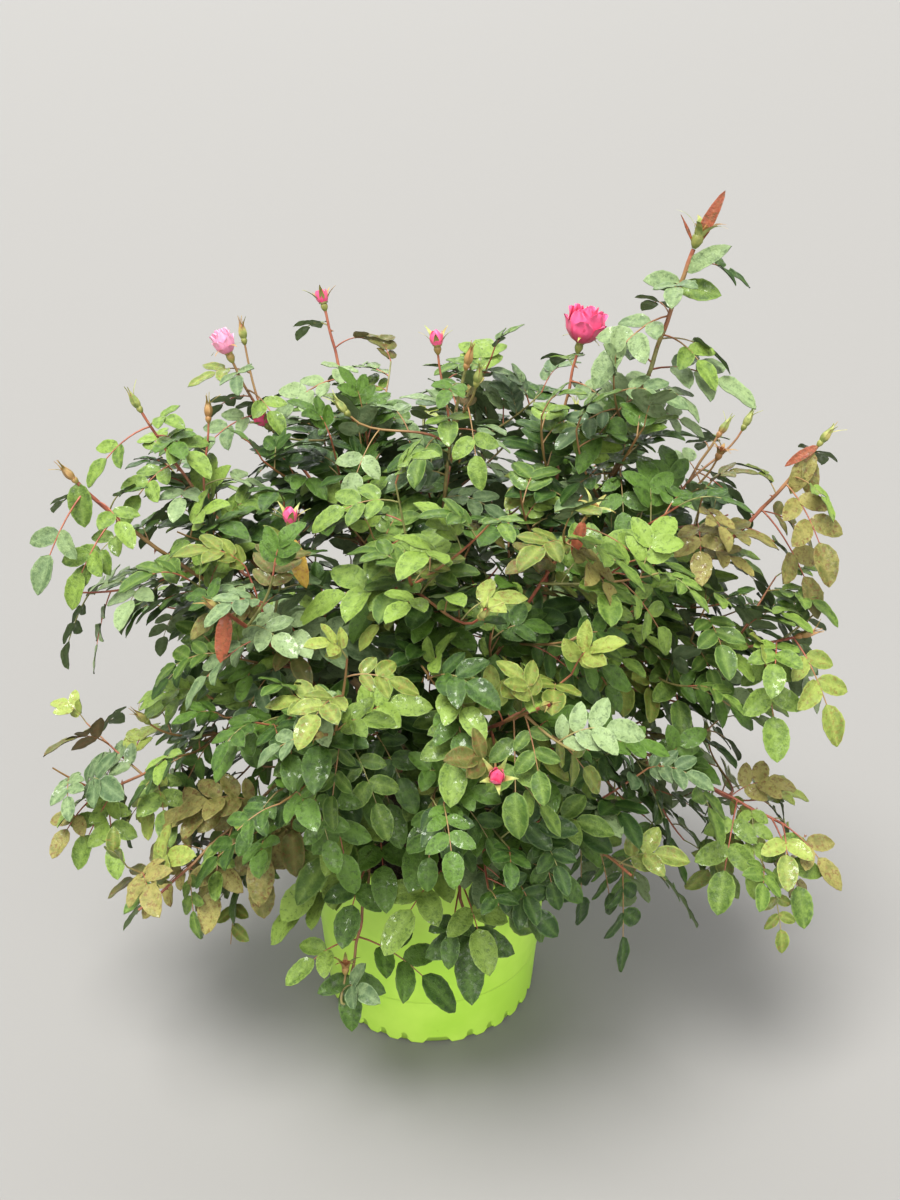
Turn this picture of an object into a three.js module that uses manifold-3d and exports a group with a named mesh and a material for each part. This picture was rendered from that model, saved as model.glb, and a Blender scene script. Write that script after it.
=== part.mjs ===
// A shrub rose in its lime-green nursery pot, in millimetres, +Z up.
// The origin is the centre of the pot's flat underside and the plant faces -Y.
// Canes rise from a short knobby stem base. Each cane ends where its spray of foliage begins,
// and each spray is one solid: twigs that branch by a seeded rule, with leaves and buds fused on.

import * as THREE from 'three';
import { mergeVertices } from 'three/addons/utils/BufferGeometryUtils.js';
import Module from 'manifold-3d';

const wasm = await Module();
wasm.setup();

// Pot and potting mix
const POT_HEIGHT = 220;
const POT_FOOT_RADIUS = 111;
const POT_TOP_RADIUS = 126.5;
const POT_WALL = 2;
const POT_FLOOR = 3;
const RIM_PROUD = 3.5;
const RIM_DEPTH = 8;
const BAND_HEIGHT = 58;
const BAND_STEP = 0.6;
const SCALLOPS = 30;
const SCALLOP_WIDTH = 9;
const SCALLOP_HEIGHT = 3.5;
const SCALLOP_DEPTH = 5;
const DRAIN_NOTCHES = 4;
const DRAIN_WIDTH = 30;
const DRAIN_HEIGHT = 8;
const DRAIN_DEPTH = 9;
const DRAIN_AZIMUTH = 274;
const FOOT_CUT_SLANT = 0.7;
const FOOT_CUT_SPARE = 6;
const POT_SEGMENTS = 36;
const SOIL_HEIGHT = 195;

// Stem base
const STEM_BASE_HEIGHT = 62;
const STEM_FLARE_RADIUS = 25;
const STEM_NECK_RADIUS = 17;
const STEM_KNOB_RADIUS = 21;
const STEM_SIDES = 12;

// Canes: radii, the share of a shoot that is bare cane, and how steeply a shoot sets off
const MAIN_ROOT_RADIUS = 5.2;
const MAIN_TIP_RADIUS = 3;
const SIDE_ROOT_RADIUS = 3.3;
const SIDE_TIP_RADIUS = 2.4;
const MAIN_CANE_SHARE = 0.4;
const SIDE_CANE_SHARE = 0.22;
const MAIN_ROOT_REACH = 5;
const MAIN_ROOT_LEVEL = [0.5, 0.72];
const MAIN_START_SLOPE = [52, 72];
const SIDE_START_AIM = 0.8;
const SIDE_START_ALONG = 0.5;
const SIDE_START_RISE = 0.35;
const ROOT_PULL = 0.38;
const TIP_PULL = 0.36;
const LEVEL_TIP_HEIGHT = 330;
const HEIGHT_PER_DEGREE = 5;
const STEEPEST_FALL = -62;
const STEEPEST_RISE = 72;
const CANE_SIDES = 5;
const CANE_STEPS = 4;

// Twigs and leaves
const SPRAY_STEM_SHARE = 0.94;
const SPRAY_TIP_RADIUS = 1.6;
const NODE_SPACING = 64;
const FIRST_LEAF = 0.6;
const LEAF_SIZE = 145;
const LEAF_SIZE_SHRINK = 0.3;
const LEAF_SIZE_RANGE = [0.85, 1.15];
const SINGLES = 3;
const FIRST_SINGLE = 0.3;
const SINGLE_LENGTH = 80;
const SINGLE_SHRINK = 0.2;
const LEAF_STALK_SHARE = 0.56;
const LEAF_STALK_RADIUS = 1.5;
const LEAF_STALK_OVERRUN = 1.1;
const LEAF_WIDTH = 0.78;
const LEAF_ROLL = 0.32;
const LEAF_ANGLE = 1.9;
const LEAF_TRIES = 10;
const LEAF_LEAN = 0.2;
const LEAF_LIFT = 0.12;
const FACE_OUTWARD = 0.9;
const FACE_SWING = 1.1;
const FEWEST_LEAFLETS = 3;
const LEAF_THICKNESS = 1.8;
const LEAF_WIDEST = 0.42;
const LEAF_THICKEST = 0.2;
const LEAF_CUP = 0.1;
const LEAF_DROOP = 0.16;
const GOLDEN_ANGLE = 137.5;
const BUD_LENGTH = 24;
const BUD_RADIUS = 6.5;
const BUD_SINK = 0.25;
const BUD_WIDEST = 0.2;
const BUD_RISE = 0.75;
const FLOWER_FLATNESS = 0.8;
const FLOWER_RISE = 0.6;
const HEAD_FACE = new THREE.Vector3(1, 0, 0.2);

// Leaflets of a compound leaf: place along the stalk, side of it, length as a share of the leaf
const LEAFLETS = [
  [0.985, 0, 0.5],
  [0.68, 1, 0.43],
  [0.63, -1, 0.43],
  [0.36, 1, 0.38],
  [0.31, -1, 0.38],
];

// Clearances
const GAP = 0.3;
const SPACE_MARGIN = 3;
const LIMB_MARGIN = 2.2;
const REACH_SPARE = 24;
const CROWN_RADIUS = 285;
const LOWEST_LEAF = 88;
const SMALLEST_EDGE = 0.02;
const SEED = 2417;

// Each shoot: name, azimuth of its tip in degrees (0 is right, 270 is the front), how far the
// tip reaches from the pot's axis and its height, then the radius of an open flower at the tip.
const MAIN_SHOOTS = [
  ['right_far', 3, 368, 620, 0],
  ['back_right', 48, 315, 520, 0],
  ['back_middle', 92, 285, 560, 0],
  ['back_top', 130, 158, 722, 0],
  ['back_left', 150, 312, 480, 0],
  ['left_far', 189, 320, 610, 0],
  ['left_front', 226, 252, 545, 0],
  ['front_left', 255, 312, 495, 0],
  ['front_right', 288, 306, 515, 0],
  ['centre_top', 330, 45, 706, 0],
  ['right_tall', 5, 236, 800, 0],
];

// Side shoots add the main shoot that each leaves and how far along its bare cane.
const SIDE_SHOOTS = [
  ['left_upper', 180, 262, 660, 0, 'left_far', 0.9],
  ['left_bloom', 157, 207, 688, 15, 'back_top', 0.8],
  ['open_bloom', 16, 149, 714, 25, 'right_tall', 0.8],
  ['right_buds', 19, 308, 600, 0, 'right_far', 0.92],
  ['right_middle', 350, 360, 455, 0, 'right_far', 0.7],
  ['right_low', 345, 384, 250, 0, 'right_far', 0.45],
  ['front_top', 266, 200, 590, 0, 'centre_top', 0.85],
  ['right_front_top', 314, 200, 616, 0, 'front_right', 0.92],
  ['left_low', 190, 358, 262, 0, 'left_far', 0.5],
  ['left_hanging', 211, 312, 215, 0, 'left_front', 0.6],
  ['front_hanging_left', 250, 236, 135, 0, 'front_left', 0.5],
  ['front_hanging_right', 281, 246, 178, 0, 'front_right', 0.5],
  ['right_front_low', 311, 272, 290, 0, 'front_right', 0.72],
  ['back_low_left', 122, 305, 275, 0, 'back_left', 0.62],
  ['back_low', 85, 292, 300, 0, 'back_middle', 0.62],
  ['back_low_right', 48, 312, 270, 0, 'back_right', 0.62],
  ['back_upper', 72, 140, 665, 0, 'back_middle', 0.92],
];

const UP = new THREE.Vector3(0, 0, 1);

const material = (color, roughness) => new THREE.MeshStandardMaterial({ color, roughness, metalness: 0 });
const POT_PLASTIC = material(0xafe94e, 0.45);
const POTTING_MIX = material(0x3b2a20, 0.95);
const OLD_BARK = material(0x6b5a41, 0.8);
const CANE_BARK = material(0x7d6a45, 0.6);
const LEAF_GREEN = material(0x4f7a45, 0.4);

// A repeatable number from 0 to 1 for any list of whole numbers
function draw(...keys) {
  let state = SEED;
  for (const key of keys) {
    state = Math.imul(state ^ (key + 0x9e3779b9), 0x85ebca6b);
    state ^= state >>> 13;
    state = Math.imul(state, 0xc2b2ae35);
    state ^= state >>> 16;
  }
  return (state >>> 0) / 4294967296;
}

function polar(azimuth, radius, height) {
  const angle = THREE.MathUtils.degToRad(azimuth);
  return new THREE.Vector3(Math.cos(angle) * radius, Math.sin(angle) * radius, height);
}

// Closed three.js geometry to a solid for joining and cutting, and back
function solid(geometry) {
  geometry.deleteAttribute('normal');
  geometry.deleteAttribute('uv');
  const merged = mergeVertices(geometry, 1e-4);
  const vertProperties = new Float32Array(merged.attributes.position.array);
  const triVerts = new Uint32Array(merged.index.array);
  return new wasm.Manifold(new wasm.Mesh({ numProp: 3, vertProperties, triVerts }));
}

function mesh(name, shape, surface) {
  const { vertProperties, triVerts } = shape.getMesh();
  const geometry = new THREE.BufferGeometry();
  geometry.setAttribute('position', new THREE.BufferAttribute(new Float32Array(vertProperties), 3));
  geometry.setIndex(new THREE.BufferAttribute(new Uint32Array(triVerts), 1));
  geometry.computeVertexNormals();
  const made = new THREE.Mesh(geometry, surface);
  made.name = name;
  return made;
}

// The largest closed body of a join: loose scraps go and sealed hollows fill
function largestBody(shape) {
  const bodies = shape.decompose();
  bodies.sort((a, b) => b.volume() - a.volume());
  return bodies[0];
}

// Whether a body's surface still closes when its points are rounded to a thousandth
function closesWhenRounded(body) {
  const { vertProperties, triVerts } = body.getMesh();
  const corner = (i) => [0, 1, 2].map((axis) => Math.round(vertProperties[i * 3 + axis] * 1000)).join();
  const edges = new Map();
  for (let i = 0; i < triVerts.length; i += 3) {
    const corners = [corner(triVerts[i]), corner(triVerts[i + 1]), corner(triVerts[i + 2])];
    if (new Set(corners).size < 3) continue;
    corners.forEach((from, side) => {
      const edge = [from, corners[(side + 1) % 3]].sort().join(' ');
      edges.set(edge, (edges.get(edge) ?? 0) + 1);
    });
  }
  return [...edges.values()].every((uses) => uses === 2);
}

// Joins twigs and leaves into one body. Where a leaf meets its twig too closely for the surface
// to stay closed, that leaf is left out.
function joinedBody(twigs, blades) {
  const join = (leaves) => largestBody(wasm.Manifold.union([...twigs, ...leaves]).simplify(SMALLEST_EDGE));
  const whole = join(blades);
  if (closesWhenRounded(whole)) return whole;
  const fewer = blades.map((_, left) => join(blades.filter((_, i) => i !== left)));
  return fewer.find(closesWhenRounded) ?? whole;
}

function turned(profile, segments) {
  const points = profile.map(([radius, height]) => new THREE.Vector2(radius, height));
  const geometry = new THREE.LatheGeometry(points, segments);
  geometry.rotateX(Math.PI / 2);
  return geometry;
}

// Pot: a thin tapering shell with a rolled rim, a moulded band and a scalloped foot
const wallRadius = (height) =>
  THREE.MathUtils.lerp(POT_FOOT_RADIUS, POT_TOP_RADIUS, height / (POT_HEIGHT - RIM_DEPTH));

function buildPot() {
  const rimBottom = POT_HEIGHT - RIM_DEPTH;
  const rimRadius = POT_TOP_RADIUS + RIM_PROUD;
  const profile = [
    [0, 0],
    [POT_FOOT_RADIUS, 0],
    [wallRadius(BAND_HEIGHT) - BAND_STEP, BAND_HEIGHT],
    [wallRadius(BAND_HEIGHT), BAND_HEIGHT + BAND_STEP],
    [POT_TOP_RADIUS, rimBottom],
    [rimRadius - 0.6, rimBottom + 0.8],
    [rimRadius, rimBottom + RIM_DEPTH * 0.5],
    [rimRadius - 1.2, POT_HEIGHT - 0.6],
    [POT_TOP_RADIUS + 0.5, POT_HEIGHT],
    [POT_TOP_RADIUS - POT_WALL, POT_HEIGHT - 2],
    [POT_FOOT_RADIUS - POT_WALL, POT_FLOOR],
    [0, POT_FLOOR],
  ];
  let pot = solid(turned(profile, POT_SEGMENTS));
  for (let i = 0; i < SCALLOPS; i += 1) {
    const azimuth = DRAIN_AZIMUTH + ((i + 0.5) * 360) / SCALLOPS;
    pot = pot.subtract(footCut(azimuth, SCALLOP_WIDTH, SCALLOP_HEIGHT, SCALLOP_DEPTH));
  }
  for (let i = 0; i < DRAIN_NOTCHES; i += 1) {
    const azimuth = DRAIN_AZIMUTH + (i * 360) / DRAIN_NOTCHES;
    pot = pot.subtract(footCut(azimuth, DRAIN_WIDTH, DRAIN_HEIGHT, DRAIN_DEPTH));
  }
  return pot;
}

// A cut in the foot: a trapezoid that is widest at the ground, pushed in from outside
function footCut(azimuth, width, height, depth) {
  const outline = new THREE.Shape([
    new THREE.Vector2(-width / 2, -1),
    new THREE.Vector2(width / 2, -1),
    new THREE.Vector2(width / 2 - height * FOOT_CUT_SLANT, height),
    new THREE.Vector2(-width / 2 + height * FOOT_CUT_SLANT, height),
  ]);
  const geometry = new THREE.ExtrudeGeometry(outline, { depth: depth + FOOT_CUT_SPARE, bevelEnabled: false });
  geometry.rotateX(Math.PI / 2);
  geometry.translate(0, POT_FOOT_RADIUS + FOOT_CUT_SPARE, 0);
  geometry.rotateZ(THREE.MathUtils.degToRad(azimuth - 90));
  return solid(geometry);
}

function buildSoil() {
  const inner = (height) => THREE.MathUtils.lerp(
    POT_FOOT_RADIUS - POT_WALL,
    POT_TOP_RADIUS - POT_WALL,
    (height - POT_FLOOR) / (POT_HEIGHT - 2 - POT_FLOOR),
  ) - GAP * 1.5;
  const profile = [
    [0, POT_FLOOR + GAP],
    [inner(POT_FLOOR), POT_FLOOR + GAP],
    [inner(SOIL_HEIGHT), SOIL_HEIGHT],
    [0, SOIL_HEIGHT],
  ];
  return solid(turned(profile, POT_SEGMENTS));
}

// Stem base, grown outwards by a clearance when it serves as the cutter for the canes' roots
function buildStemBase(clearance) {
  const foot = SOIL_HEIGHT + GAP;
  const at = (share) => foot + STEM_BASE_HEIGHT * share;
  const profile = [
    [0, foot - clearance],
    [STEM_FLARE_RADIUS + clearance, foot - clearance],
    [STEM_NECK_RADIUS + 2 + clearance, at(0.2)],
    [STEM_NECK_RADIUS + clearance, at(0.4)],
    [STEM_KNOB_RADIUS + clearance, at(0.62)],
    [STEM_KNOB_RADIUS - 2 + clearance, at(0.82)],
    [STEM_KNOB_RADIUS * 0.55 + clearance, at(0.97) + clearance],
    [0, at(1) + clearance],
  ];
  return solid(turned(profile, STEM_SIDES));
}

// The part of a cubic curve between two of its parameters
function subCurve(curve, from, to) {
  const controls = [curve.v0, curve.v1, curve.v2, curve.v3];
  const blend = (a, b, c) => {
    let row = controls;
    for (const share of [a, b, c]) {
      row = row.slice(1).map((point, i) => row[i].clone().lerp(point, share));
    }
    return row[0];
  };
  return new THREE.CubicBezierCurve3(
    blend(from, from, from), blend(from, from, to), blend(from, to, to), blend(to, to, to));
}

// A round tapering limb along a curve: a closed cylinder bent to the curve's own frames
function limb(curve, rootRadius, tipRadius, sides, steps) {
  const geometry = new THREE.CylinderGeometry(1, 1, 1, sides, steps);
  const { normals, binormals } = curve.computeFrenetFrames(steps, false);
  const position = geometry.attributes.position;
  for (let i = 0; i < position.count; i += 1) {
    const ring = Math.round((position.getY(i) + 0.5) * steps);
    const radius = THREE.MathUtils.lerp(rootRadius, tipRadius, ring / steps);
    const point = curve.getPointAt(ring / steps);
    point.addScaledVector(normals[ring], position.getX(i) * radius);
    point.addScaledVector(binormals[ring], -position.getZ(i) * radius);
    position.setXYZ(i, point.x, point.y, point.z);
  }
  return solid(geometry);
}

// Shoots: low tips hang and high tips stand
const tipSlope = (height) =>
  THREE.MathUtils.clamp((height - LEVEL_TIP_HEIGHT) / HEIGHT_PER_DEGREE, STEEPEST_FALL, STEEPEST_RISE);

function shootCurve(root, start, tip, azimuth) {
  const span = root.distanceTo(tip);
  const slope = THREE.MathUtils.degToRad(tipSlope(tip.z));
  const heading = polar(azimuth, Math.cos(slope), Math.sin(slope));
  return new THREE.CubicBezierCurve3(
    root,
    root.clone().addScaledVector(start, span * ROOT_PULL),
    tip.clone().addScaledVector(heading, -span * TIP_PULL),
    tip,
  );
}

function planShoot([name, , reach, , flower], curve, radii, share) {
  const [rootRadius, tipRadius] = radii;
  const length = curve.getLength();
  const cut = curve.getUtoTmapping(share);
  const afterCut = curve.getUtoTmapping(share + GAP / length);
  return {
    name,
    reach,
    flower,
    curve,
    rootRadius,
    tipRadius,
    cane: subCurve(curve, 0, cut),
    stem: subCurve(curve, afterCut, 1),
  };
}

function planShoots() {
  const shoots = [];
  MAIN_SHOOTS.forEach((row, i) => {
    const tier = i % 2;
    const footAzimuth = (i * 360) / MAIN_SHOOTS.length;
    const root = polar(footAzimuth, MAIN_ROOT_REACH, SOIL_HEIGHT + STEM_BASE_HEIGHT * MAIN_ROOT_LEVEL[tier]);
    const slope = THREE.MathUtils.degToRad(MAIN_START_SLOPE[tier]);
    const start = polar(footAzimuth, Math.cos(slope), Math.sin(slope));
    const tip = polar(row[1], row[2], row[3]);
    const curve = shootCurve(root, start, tip, row[1]);
    shoots.push(planShoot(row, curve, [MAIN_ROOT_RADIUS, MAIN_TIP_RADIUS], MAIN_CANE_SHARE));
  });
  for (const row of SIDE_SHOOTS) {
    const parent = shoots.find((shoot) => shoot.name === row[5]);
    const along = row[6] * MAIN_CANE_SHARE;
    const root = parent.curve.getPointAt(along);
    const tip = polar(row[1], row[2], row[3]);
    const start = tip.clone().sub(root).normalize().multiplyScalar(SIDE_START_AIM);
    start.addScaledVector(parent.curve.getTangentAt(along), SIDE_START_ALONG);
    start.addScaledVector(UP, SIDE_START_RISE).normalize();
    const curve = shootCurve(root, start, tip, row[1]);
    const shoot = planShoot(row, curve, [SIDE_ROOT_RADIUS, SIDE_TIP_RADIUS], SIDE_CANE_SHARE);
    shoot.seat = { curve: parent.cane, radius: parent.rootRadius, tip: parent.tipRadius };
    shoots.push(shoot);
  }
  return shoots;
}

const shoots = planShoots();
for (const shoot of shoots) {
  shoot.stemPoints = shoot.stem.getSpacedPoints(10);
  shoot.canePoints = shoot.cane.getSpacedPoints(12);
}

function distanceToLine(point, line) {
  let nearest = Infinity;
  const closest = new THREE.Vector3();
  for (let i = 1; i < line.length; i += 1) {
    new THREE.Line3(line[i - 1], line[i]).closestPointToPoint(point, true, closest);
    nearest = Math.min(nearest, closest.distanceTo(point));
  }
  return nearest;
}

// A spray's own space is what lies nearer to its stem than to any other, clear of limbs and pot
function inOwnSpace(point, shoot) {
  const own = distanceToLine(point, shoot.stemPoints);
  for (const other of shoots) {
    if (other !== shoot && distanceToLine(point, other.stemPoints) < own + SPACE_MARGIN) return false;
    if (distanceToLine(point, other.canePoints) < other.rootRadius + LIMB_MARGIN) return false;
  }
  const fromAxis = Math.hypot(point.x, point.y);
  if (fromAxis > Math.max(shoot.reach, CROWN_RADIUS) + REACH_SPARE) return false;
  if (fromAxis < POT_TOP_RADIUS - POT_WALL - LIMB_MARGIN) return point.z > SOIL_HEIGHT + LIMB_MARGIN;
  const outsidePot = fromAxis > POT_TOP_RADIUS + RIM_PROUD + LIMB_MARGIN;
  return point.z > (outsidePot ? LOWEST_LEAF : POT_HEIGHT + LIMB_MARGIN);
}

// Axes of a leaf: it points along one direction and its face turns towards another
function leafFrame(origin, direction, face) {
  const along = direction.clone().normalize();
  const across = along.clone().cross(face).normalize();
  const out = across.clone().cross(along);
  return new THREE.Matrix4().makeBasis(across, along, out).setPosition(origin);
}

// A leaflet's middle surface: cupped across, with a drooping tip
const bladeLift = (across, station, length) =>
  Math.abs(across) * LEAF_CUP * 2 - station * station * length * LEAF_DROOP;

// One leaflet: an eight-faced blade, thickest near its root and widest before its middle
function blade(frame, length) {
  const geometry = new THREE.OctahedronGeometry(1);
  const position = geometry.attributes.position;
  for (let i = 0; i < position.count; i += 1) {
    const [x, y, z] = [position.getX(i), position.getY(i), position.getZ(i)];
    let station = z === 0 ? LEAF_WIDEST : LEAF_THICKEST;
    if (y !== 0) station = y < 0 ? 0 : 1;
    const across = (x * length * LEAF_WIDTH) / 2;
    const lift = (z * LEAF_THICKNESS) / 2 + bladeLift(across, station, length);
    position.setXYZ(i, across, station * length, lift);
  }
  geometry.applyMatrix4(frame);
  return solid(geometry);
}

// A leaflet fits where a net of points over it, too close for a limb to slip through, is in space
function bladeFits(frame, length, shoot) {
  for (let step = 1; step <= 6; step += 1) {
    const station = step / 6;
    const taper = station < LEAF_WIDEST ? station / LEAF_WIDEST : (1 - station) / (1 - LEAF_WIDEST);
    for (const side of [-1, -0.5, 0, 0.5, 1]) {
      const across = (side * taper * length * LEAF_WIDTH) / 2;
      const point = new THREE.Vector3(across, station * length, bladeLift(across, station, length));
      if (!inOwnSpace(point.applyMatrix4(frame), shoot)) return false;
    }
  }
  return true;
}

const crosses = (shape, others) => others.some((other) => shape.intersect(other).volume() > 0);

// A stalk: a slender three-sided spike, flat side up, whose point lies inside the last leaflet
function stalk(origin, direction, face, length) {
  const fullLength = length * LEAF_STALK_OVERRUN;
  const geometry = new THREE.ConeGeometry(LEAF_STALK_RADIUS, fullLength, 3, 1);
  geometry.translate(0, fullLength / 2, 0);
  geometry.applyMatrix4(leafFrame(origin, direction, face));
  return solid(geometry);
}

// A compound leaf: a stalk with staggered pairs of leaflets and one at its end, as many as fit
function compoundLeaf(origin, direction, face, size, shoot, grown) {
  const stalkLength = size * LEAF_STALK_SHARE;
  const end = origin.clone().addScaledVector(direction, stalkLength);
  const line = new THREE.LineCurve3(origin, end).getSpacedPoints(5);
  if (!line.slice(1).every((point) => inOwnSpace(point, shoot))) return null;
  const twig = stalk(origin, direction, face, stalkLength);
  if (crosses(twig, grown.blades)) return null;
  const across = direction.clone().cross(face).normalize();
  const blades = [];
  for (const [station, side, share] of LEAFLETS) {
    const heading = direction.clone().addScaledVector(across, side * LEAF_ANGLE).normalize();
    const root = origin.clone().addScaledVector(direction, stalkLength * station);
    const turnedFace = face.clone().applyAxisAngle(heading, side * LEAF_ROLL);
    const frame = leafFrame(root, heading, turnedFace);
    if (!bladeFits(frame, size * share, shoot)) continue;
    const leaflet = blade(frame, size * share);
    if (!crosses(leaflet, [...grown.blades, ...blades])) blades.push(leaflet);
  }
  return { twig, blades };
}

// A leaf without a stalk of its own, rooted in the stem
function singleLeaf(origin, direction, face, length, shoot, grown) {
  const frame = leafFrame(origin, direction, face);
  if (!bladeFits(frame, length, shoot)) return null;
  const leaflet = blade(frame, length);
  return crosses(leaflet, [...grown.blades, ...grown.twigs.slice(1)]) ? null : leaflet;
}

// The fullest of several leaves round a node, starting from the node's own angle
function fullestLeaf(point, tangent, angle, chance, size, shoot, grown) {
  let best = null;
  for (let turn = 0; turn < LEAF_TRIES; turn += 1) {
    const lean = turn % 2 === 0 ? LEAF_LEAN : LEAF_LEAN * 2;
    const heading = leavingDirection(tangent, angle + (turn * 360) / LEAF_TRIES, lean);
    const leaf = compoundLeaf(point, heading, facing(point, heading, chance), size, shoot, grown);
    if (leaf && (best === null || leaf.blades.length > best.blades.length)) best = leaf;
  }
  return best;
}

// The direction in which something leaves a twig: round it by an angle, leaning forwards and up
function leavingDirection(tangent, angle, forward) {
  const right = tangent.clone().cross(UP).normalize();
  const direction = right.applyAxisAngle(tangent, THREE.MathUtils.degToRad(angle));
  return direction.addScaledVector(tangent, forward).addScaledVector(UP, LEAF_LIFT).normalize();
}

// Leaves turn their faces up and away from the pot's axis, each rolled a little its own way
function facing(point, heading, chance) {
  const outward = new THREE.Vector3(point.x, point.y, 0).normalize();
  const face = outward.multiplyScalar(FACE_OUTWARD).add(UP).normalize();
  return face.applyAxisAngle(heading, (chance - 0.5) * FACE_SWING);
}

// A bud: a pointed spindle whose root is sunk in the end of its twig
function bud(point, direction, radius, length) {
  const geometry = new THREE.OctahedronGeometry(1);
  const position = geometry.attributes.position;
  for (let i = 0; i < position.count; i += 1) {
    const y = position.getY(i);
    let station = BUD_WIDEST;
    if (y !== 0) station = y < 0 ? -BUD_SINK : BUD_RISE;
    position.setXYZ(i, position.getX(i) * radius, station * length, position.getZ(i) * radius);
  }
  geometry.applyMatrix4(leafFrame(point, direction, HEAD_FACE));
  return solid(geometry);
}

// An open flower: a round head on the end of its twig
function flower(point, direction, radius) {
  const geometry = new THREE.IcosahedronGeometry(radius, 0);
  geometry.scale(1, FLOWER_FLATNESS, 1);
  geometry.translate(0, radius * FLOWER_RISE, 0);
  geometry.applyMatrix4(leafFrame(point, direction, HEAD_FACE));
  return solid(geometry);
}

// One spray of foliage by the seeded rule. Nodes up the stem are turned by the golden angle and
// bear a compound leaf each, single leaves fill in between, and a bud or flower ends the stem.
function buildSpray(shoot, index) {
  const stemLength = shoot.stem.getLength();
  const grown = { twigs: [limb(shoot.stem, shoot.tipRadius, SPRAY_TIP_RADIUS, 3, 4)], blades: [] };
  const nodes = Math.round((stemLength * SPRAY_STEM_SHARE) / NODE_SPACING);
  for (let node = 0; node < nodes; node += 1) {
    const station = ((node + FIRST_LEAF) / nodes) * SPRAY_STEM_SHARE;
    const point = shoot.stem.getPointAt(station);
    const tangent = shoot.stem.getTangentAt(station);
    const angle = node * GOLDEN_ANGLE + draw(index, 0) * 360;
    const size = LEAF_SIZE * (1 - LEAF_SIZE_SHRINK * station)
      * THREE.MathUtils.lerp(...LEAF_SIZE_RANGE, draw(index, node, 1));
    const leaf = fullestLeaf(point, tangent, angle, draw(index, node, 2), size, shoot, grown);
    if (leaf === null || leaf.blades.length < FEWEST_LEAFLETS) continue;
    grown.twigs.push(leaf.twig);
    grown.blades.push(...leaf.blades);
  }
  for (let node = 0; node < nodes * SINGLES; node += 1) {
    const station = ((node + FIRST_SINGLE) / (nodes * SINGLES)) * SPRAY_STEM_SHARE;
    const point = shoot.stem.getPointAt(station);
    const tangent = shoot.stem.getTangentAt(station);
    for (let turn = 0; turn < LEAF_TRIES; turn += 1) {
      const heading = leavingDirection(tangent, node * GOLDEN_ANGLE + (turn * 360) / LEAF_TRIES, LEAF_LEAN);
      const length = SINGLE_LENGTH * (1 - SINGLE_SHRINK * station);
      const face = facing(point, heading, draw(index, node, 3));
      const leaf = singleLeaf(point, heading, face, length, shoot, grown);
      if (leaf === null) continue;
      grown.blades.push(leaf);
      break;
    }
  }
  const tip = shoot.stem.getPointAt(1);
  const end = shoot.stem.getTangentAt(1);
  grown.twigs.push(shoot.flower > 0 ? flower(tip, end, shoot.flower) : bud(tip, end, BUD_RADIUS, BUD_LENGTH));
  return joinedBody(grown.twigs, grown.blades);
}

const rose = new THREE.Group();
rose.name = 'potted_rose_bush';
rose.add(mesh('pot', buildPot(), POT_PLASTIC));
rose.add(mesh('soil', buildSoil(), POTTING_MIX));
rose.add(mesh('stem_base', buildStemBase(0), OLD_BARK));

const stemBaseCutter = buildStemBase(GAP);
for (const shoot of shoots) {
  const cane = limb(shoot.cane, shoot.rootRadius, shoot.tipRadius, CANE_SIDES, CANE_STEPS);
  const seat = shoot.seat;
  const cutter = seat
    ? limb(seat.curve, seat.radius + GAP, seat.tip + GAP, CANE_SIDES, CANE_STEPS)
    : stemBaseCutter;
  rose.add(mesh(`cane_${shoot.name}`, largestBody(cane.subtract(cutter)), CANE_BARK));
}
shoots.forEach((shoot, index) => {
  rose.add(mesh(`foliage_${shoot.name}`, buildSpray(shoot, index), LEAF_GREEN));
});

export default rose;
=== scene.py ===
import bpy
import math
import numpy as np
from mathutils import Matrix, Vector


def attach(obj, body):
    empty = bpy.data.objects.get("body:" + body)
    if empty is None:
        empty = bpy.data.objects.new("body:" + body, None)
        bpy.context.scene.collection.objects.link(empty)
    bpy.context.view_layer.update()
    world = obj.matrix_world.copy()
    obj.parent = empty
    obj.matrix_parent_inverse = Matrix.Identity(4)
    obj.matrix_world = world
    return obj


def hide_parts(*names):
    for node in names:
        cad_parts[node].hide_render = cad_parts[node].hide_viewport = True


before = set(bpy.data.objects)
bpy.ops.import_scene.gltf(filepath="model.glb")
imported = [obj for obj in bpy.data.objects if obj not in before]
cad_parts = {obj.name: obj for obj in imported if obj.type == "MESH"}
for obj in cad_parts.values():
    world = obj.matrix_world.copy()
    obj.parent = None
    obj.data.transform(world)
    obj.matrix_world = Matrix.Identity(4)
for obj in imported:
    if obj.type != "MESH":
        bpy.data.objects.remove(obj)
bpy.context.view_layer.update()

# Nursery pot
# A thin round tub, blow moulded in lime-green plastic, with a rolled rim, a faint moulded line
# round the wall and a scalloped foot with four drain notches. It stands on its flat underside.
POT_HEIGHT = 0.220
POT_FOOT_RADIUS = 0.111
POT_TOP_RADIUS = 0.1265
POT_WALL = 0.002
POT_FLOOR = 0.003
RIM_PROUD = 0.0035
RIM_DEPTH = 0.008
BAND_HEIGHT = 0.058
BAND_STEP = 0.0006
SCALLOPS = 30
SCALLOP_HEIGHT = 0.0048
SCALLOP_INSET = 0.005
SCALLOP_SHARE = 0.62
HOLLOW_DEPTH = 0.0022
HOLLOW_TOP = 0.0125
HOLLOW_SHARE = 0.34
DRAIN_NOTCHES = 4
DRAIN_WIDTH = 0.030
DRAIN_HEIGHT = 0.008
FOOT_ROUNDING = 0.0014
DRAIN_AZIMUTH = 274
SOIL_HEIGHT = 0.195
POT_SEGMENTS = 720
LIME = (0.56, 0.88, 0.11, 1)
DEEP_LIME = (0.45, 0.78, 0.07, 1)
SCUFFED_LIME = (0.62, 0.85, 0.32, 1)
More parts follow.
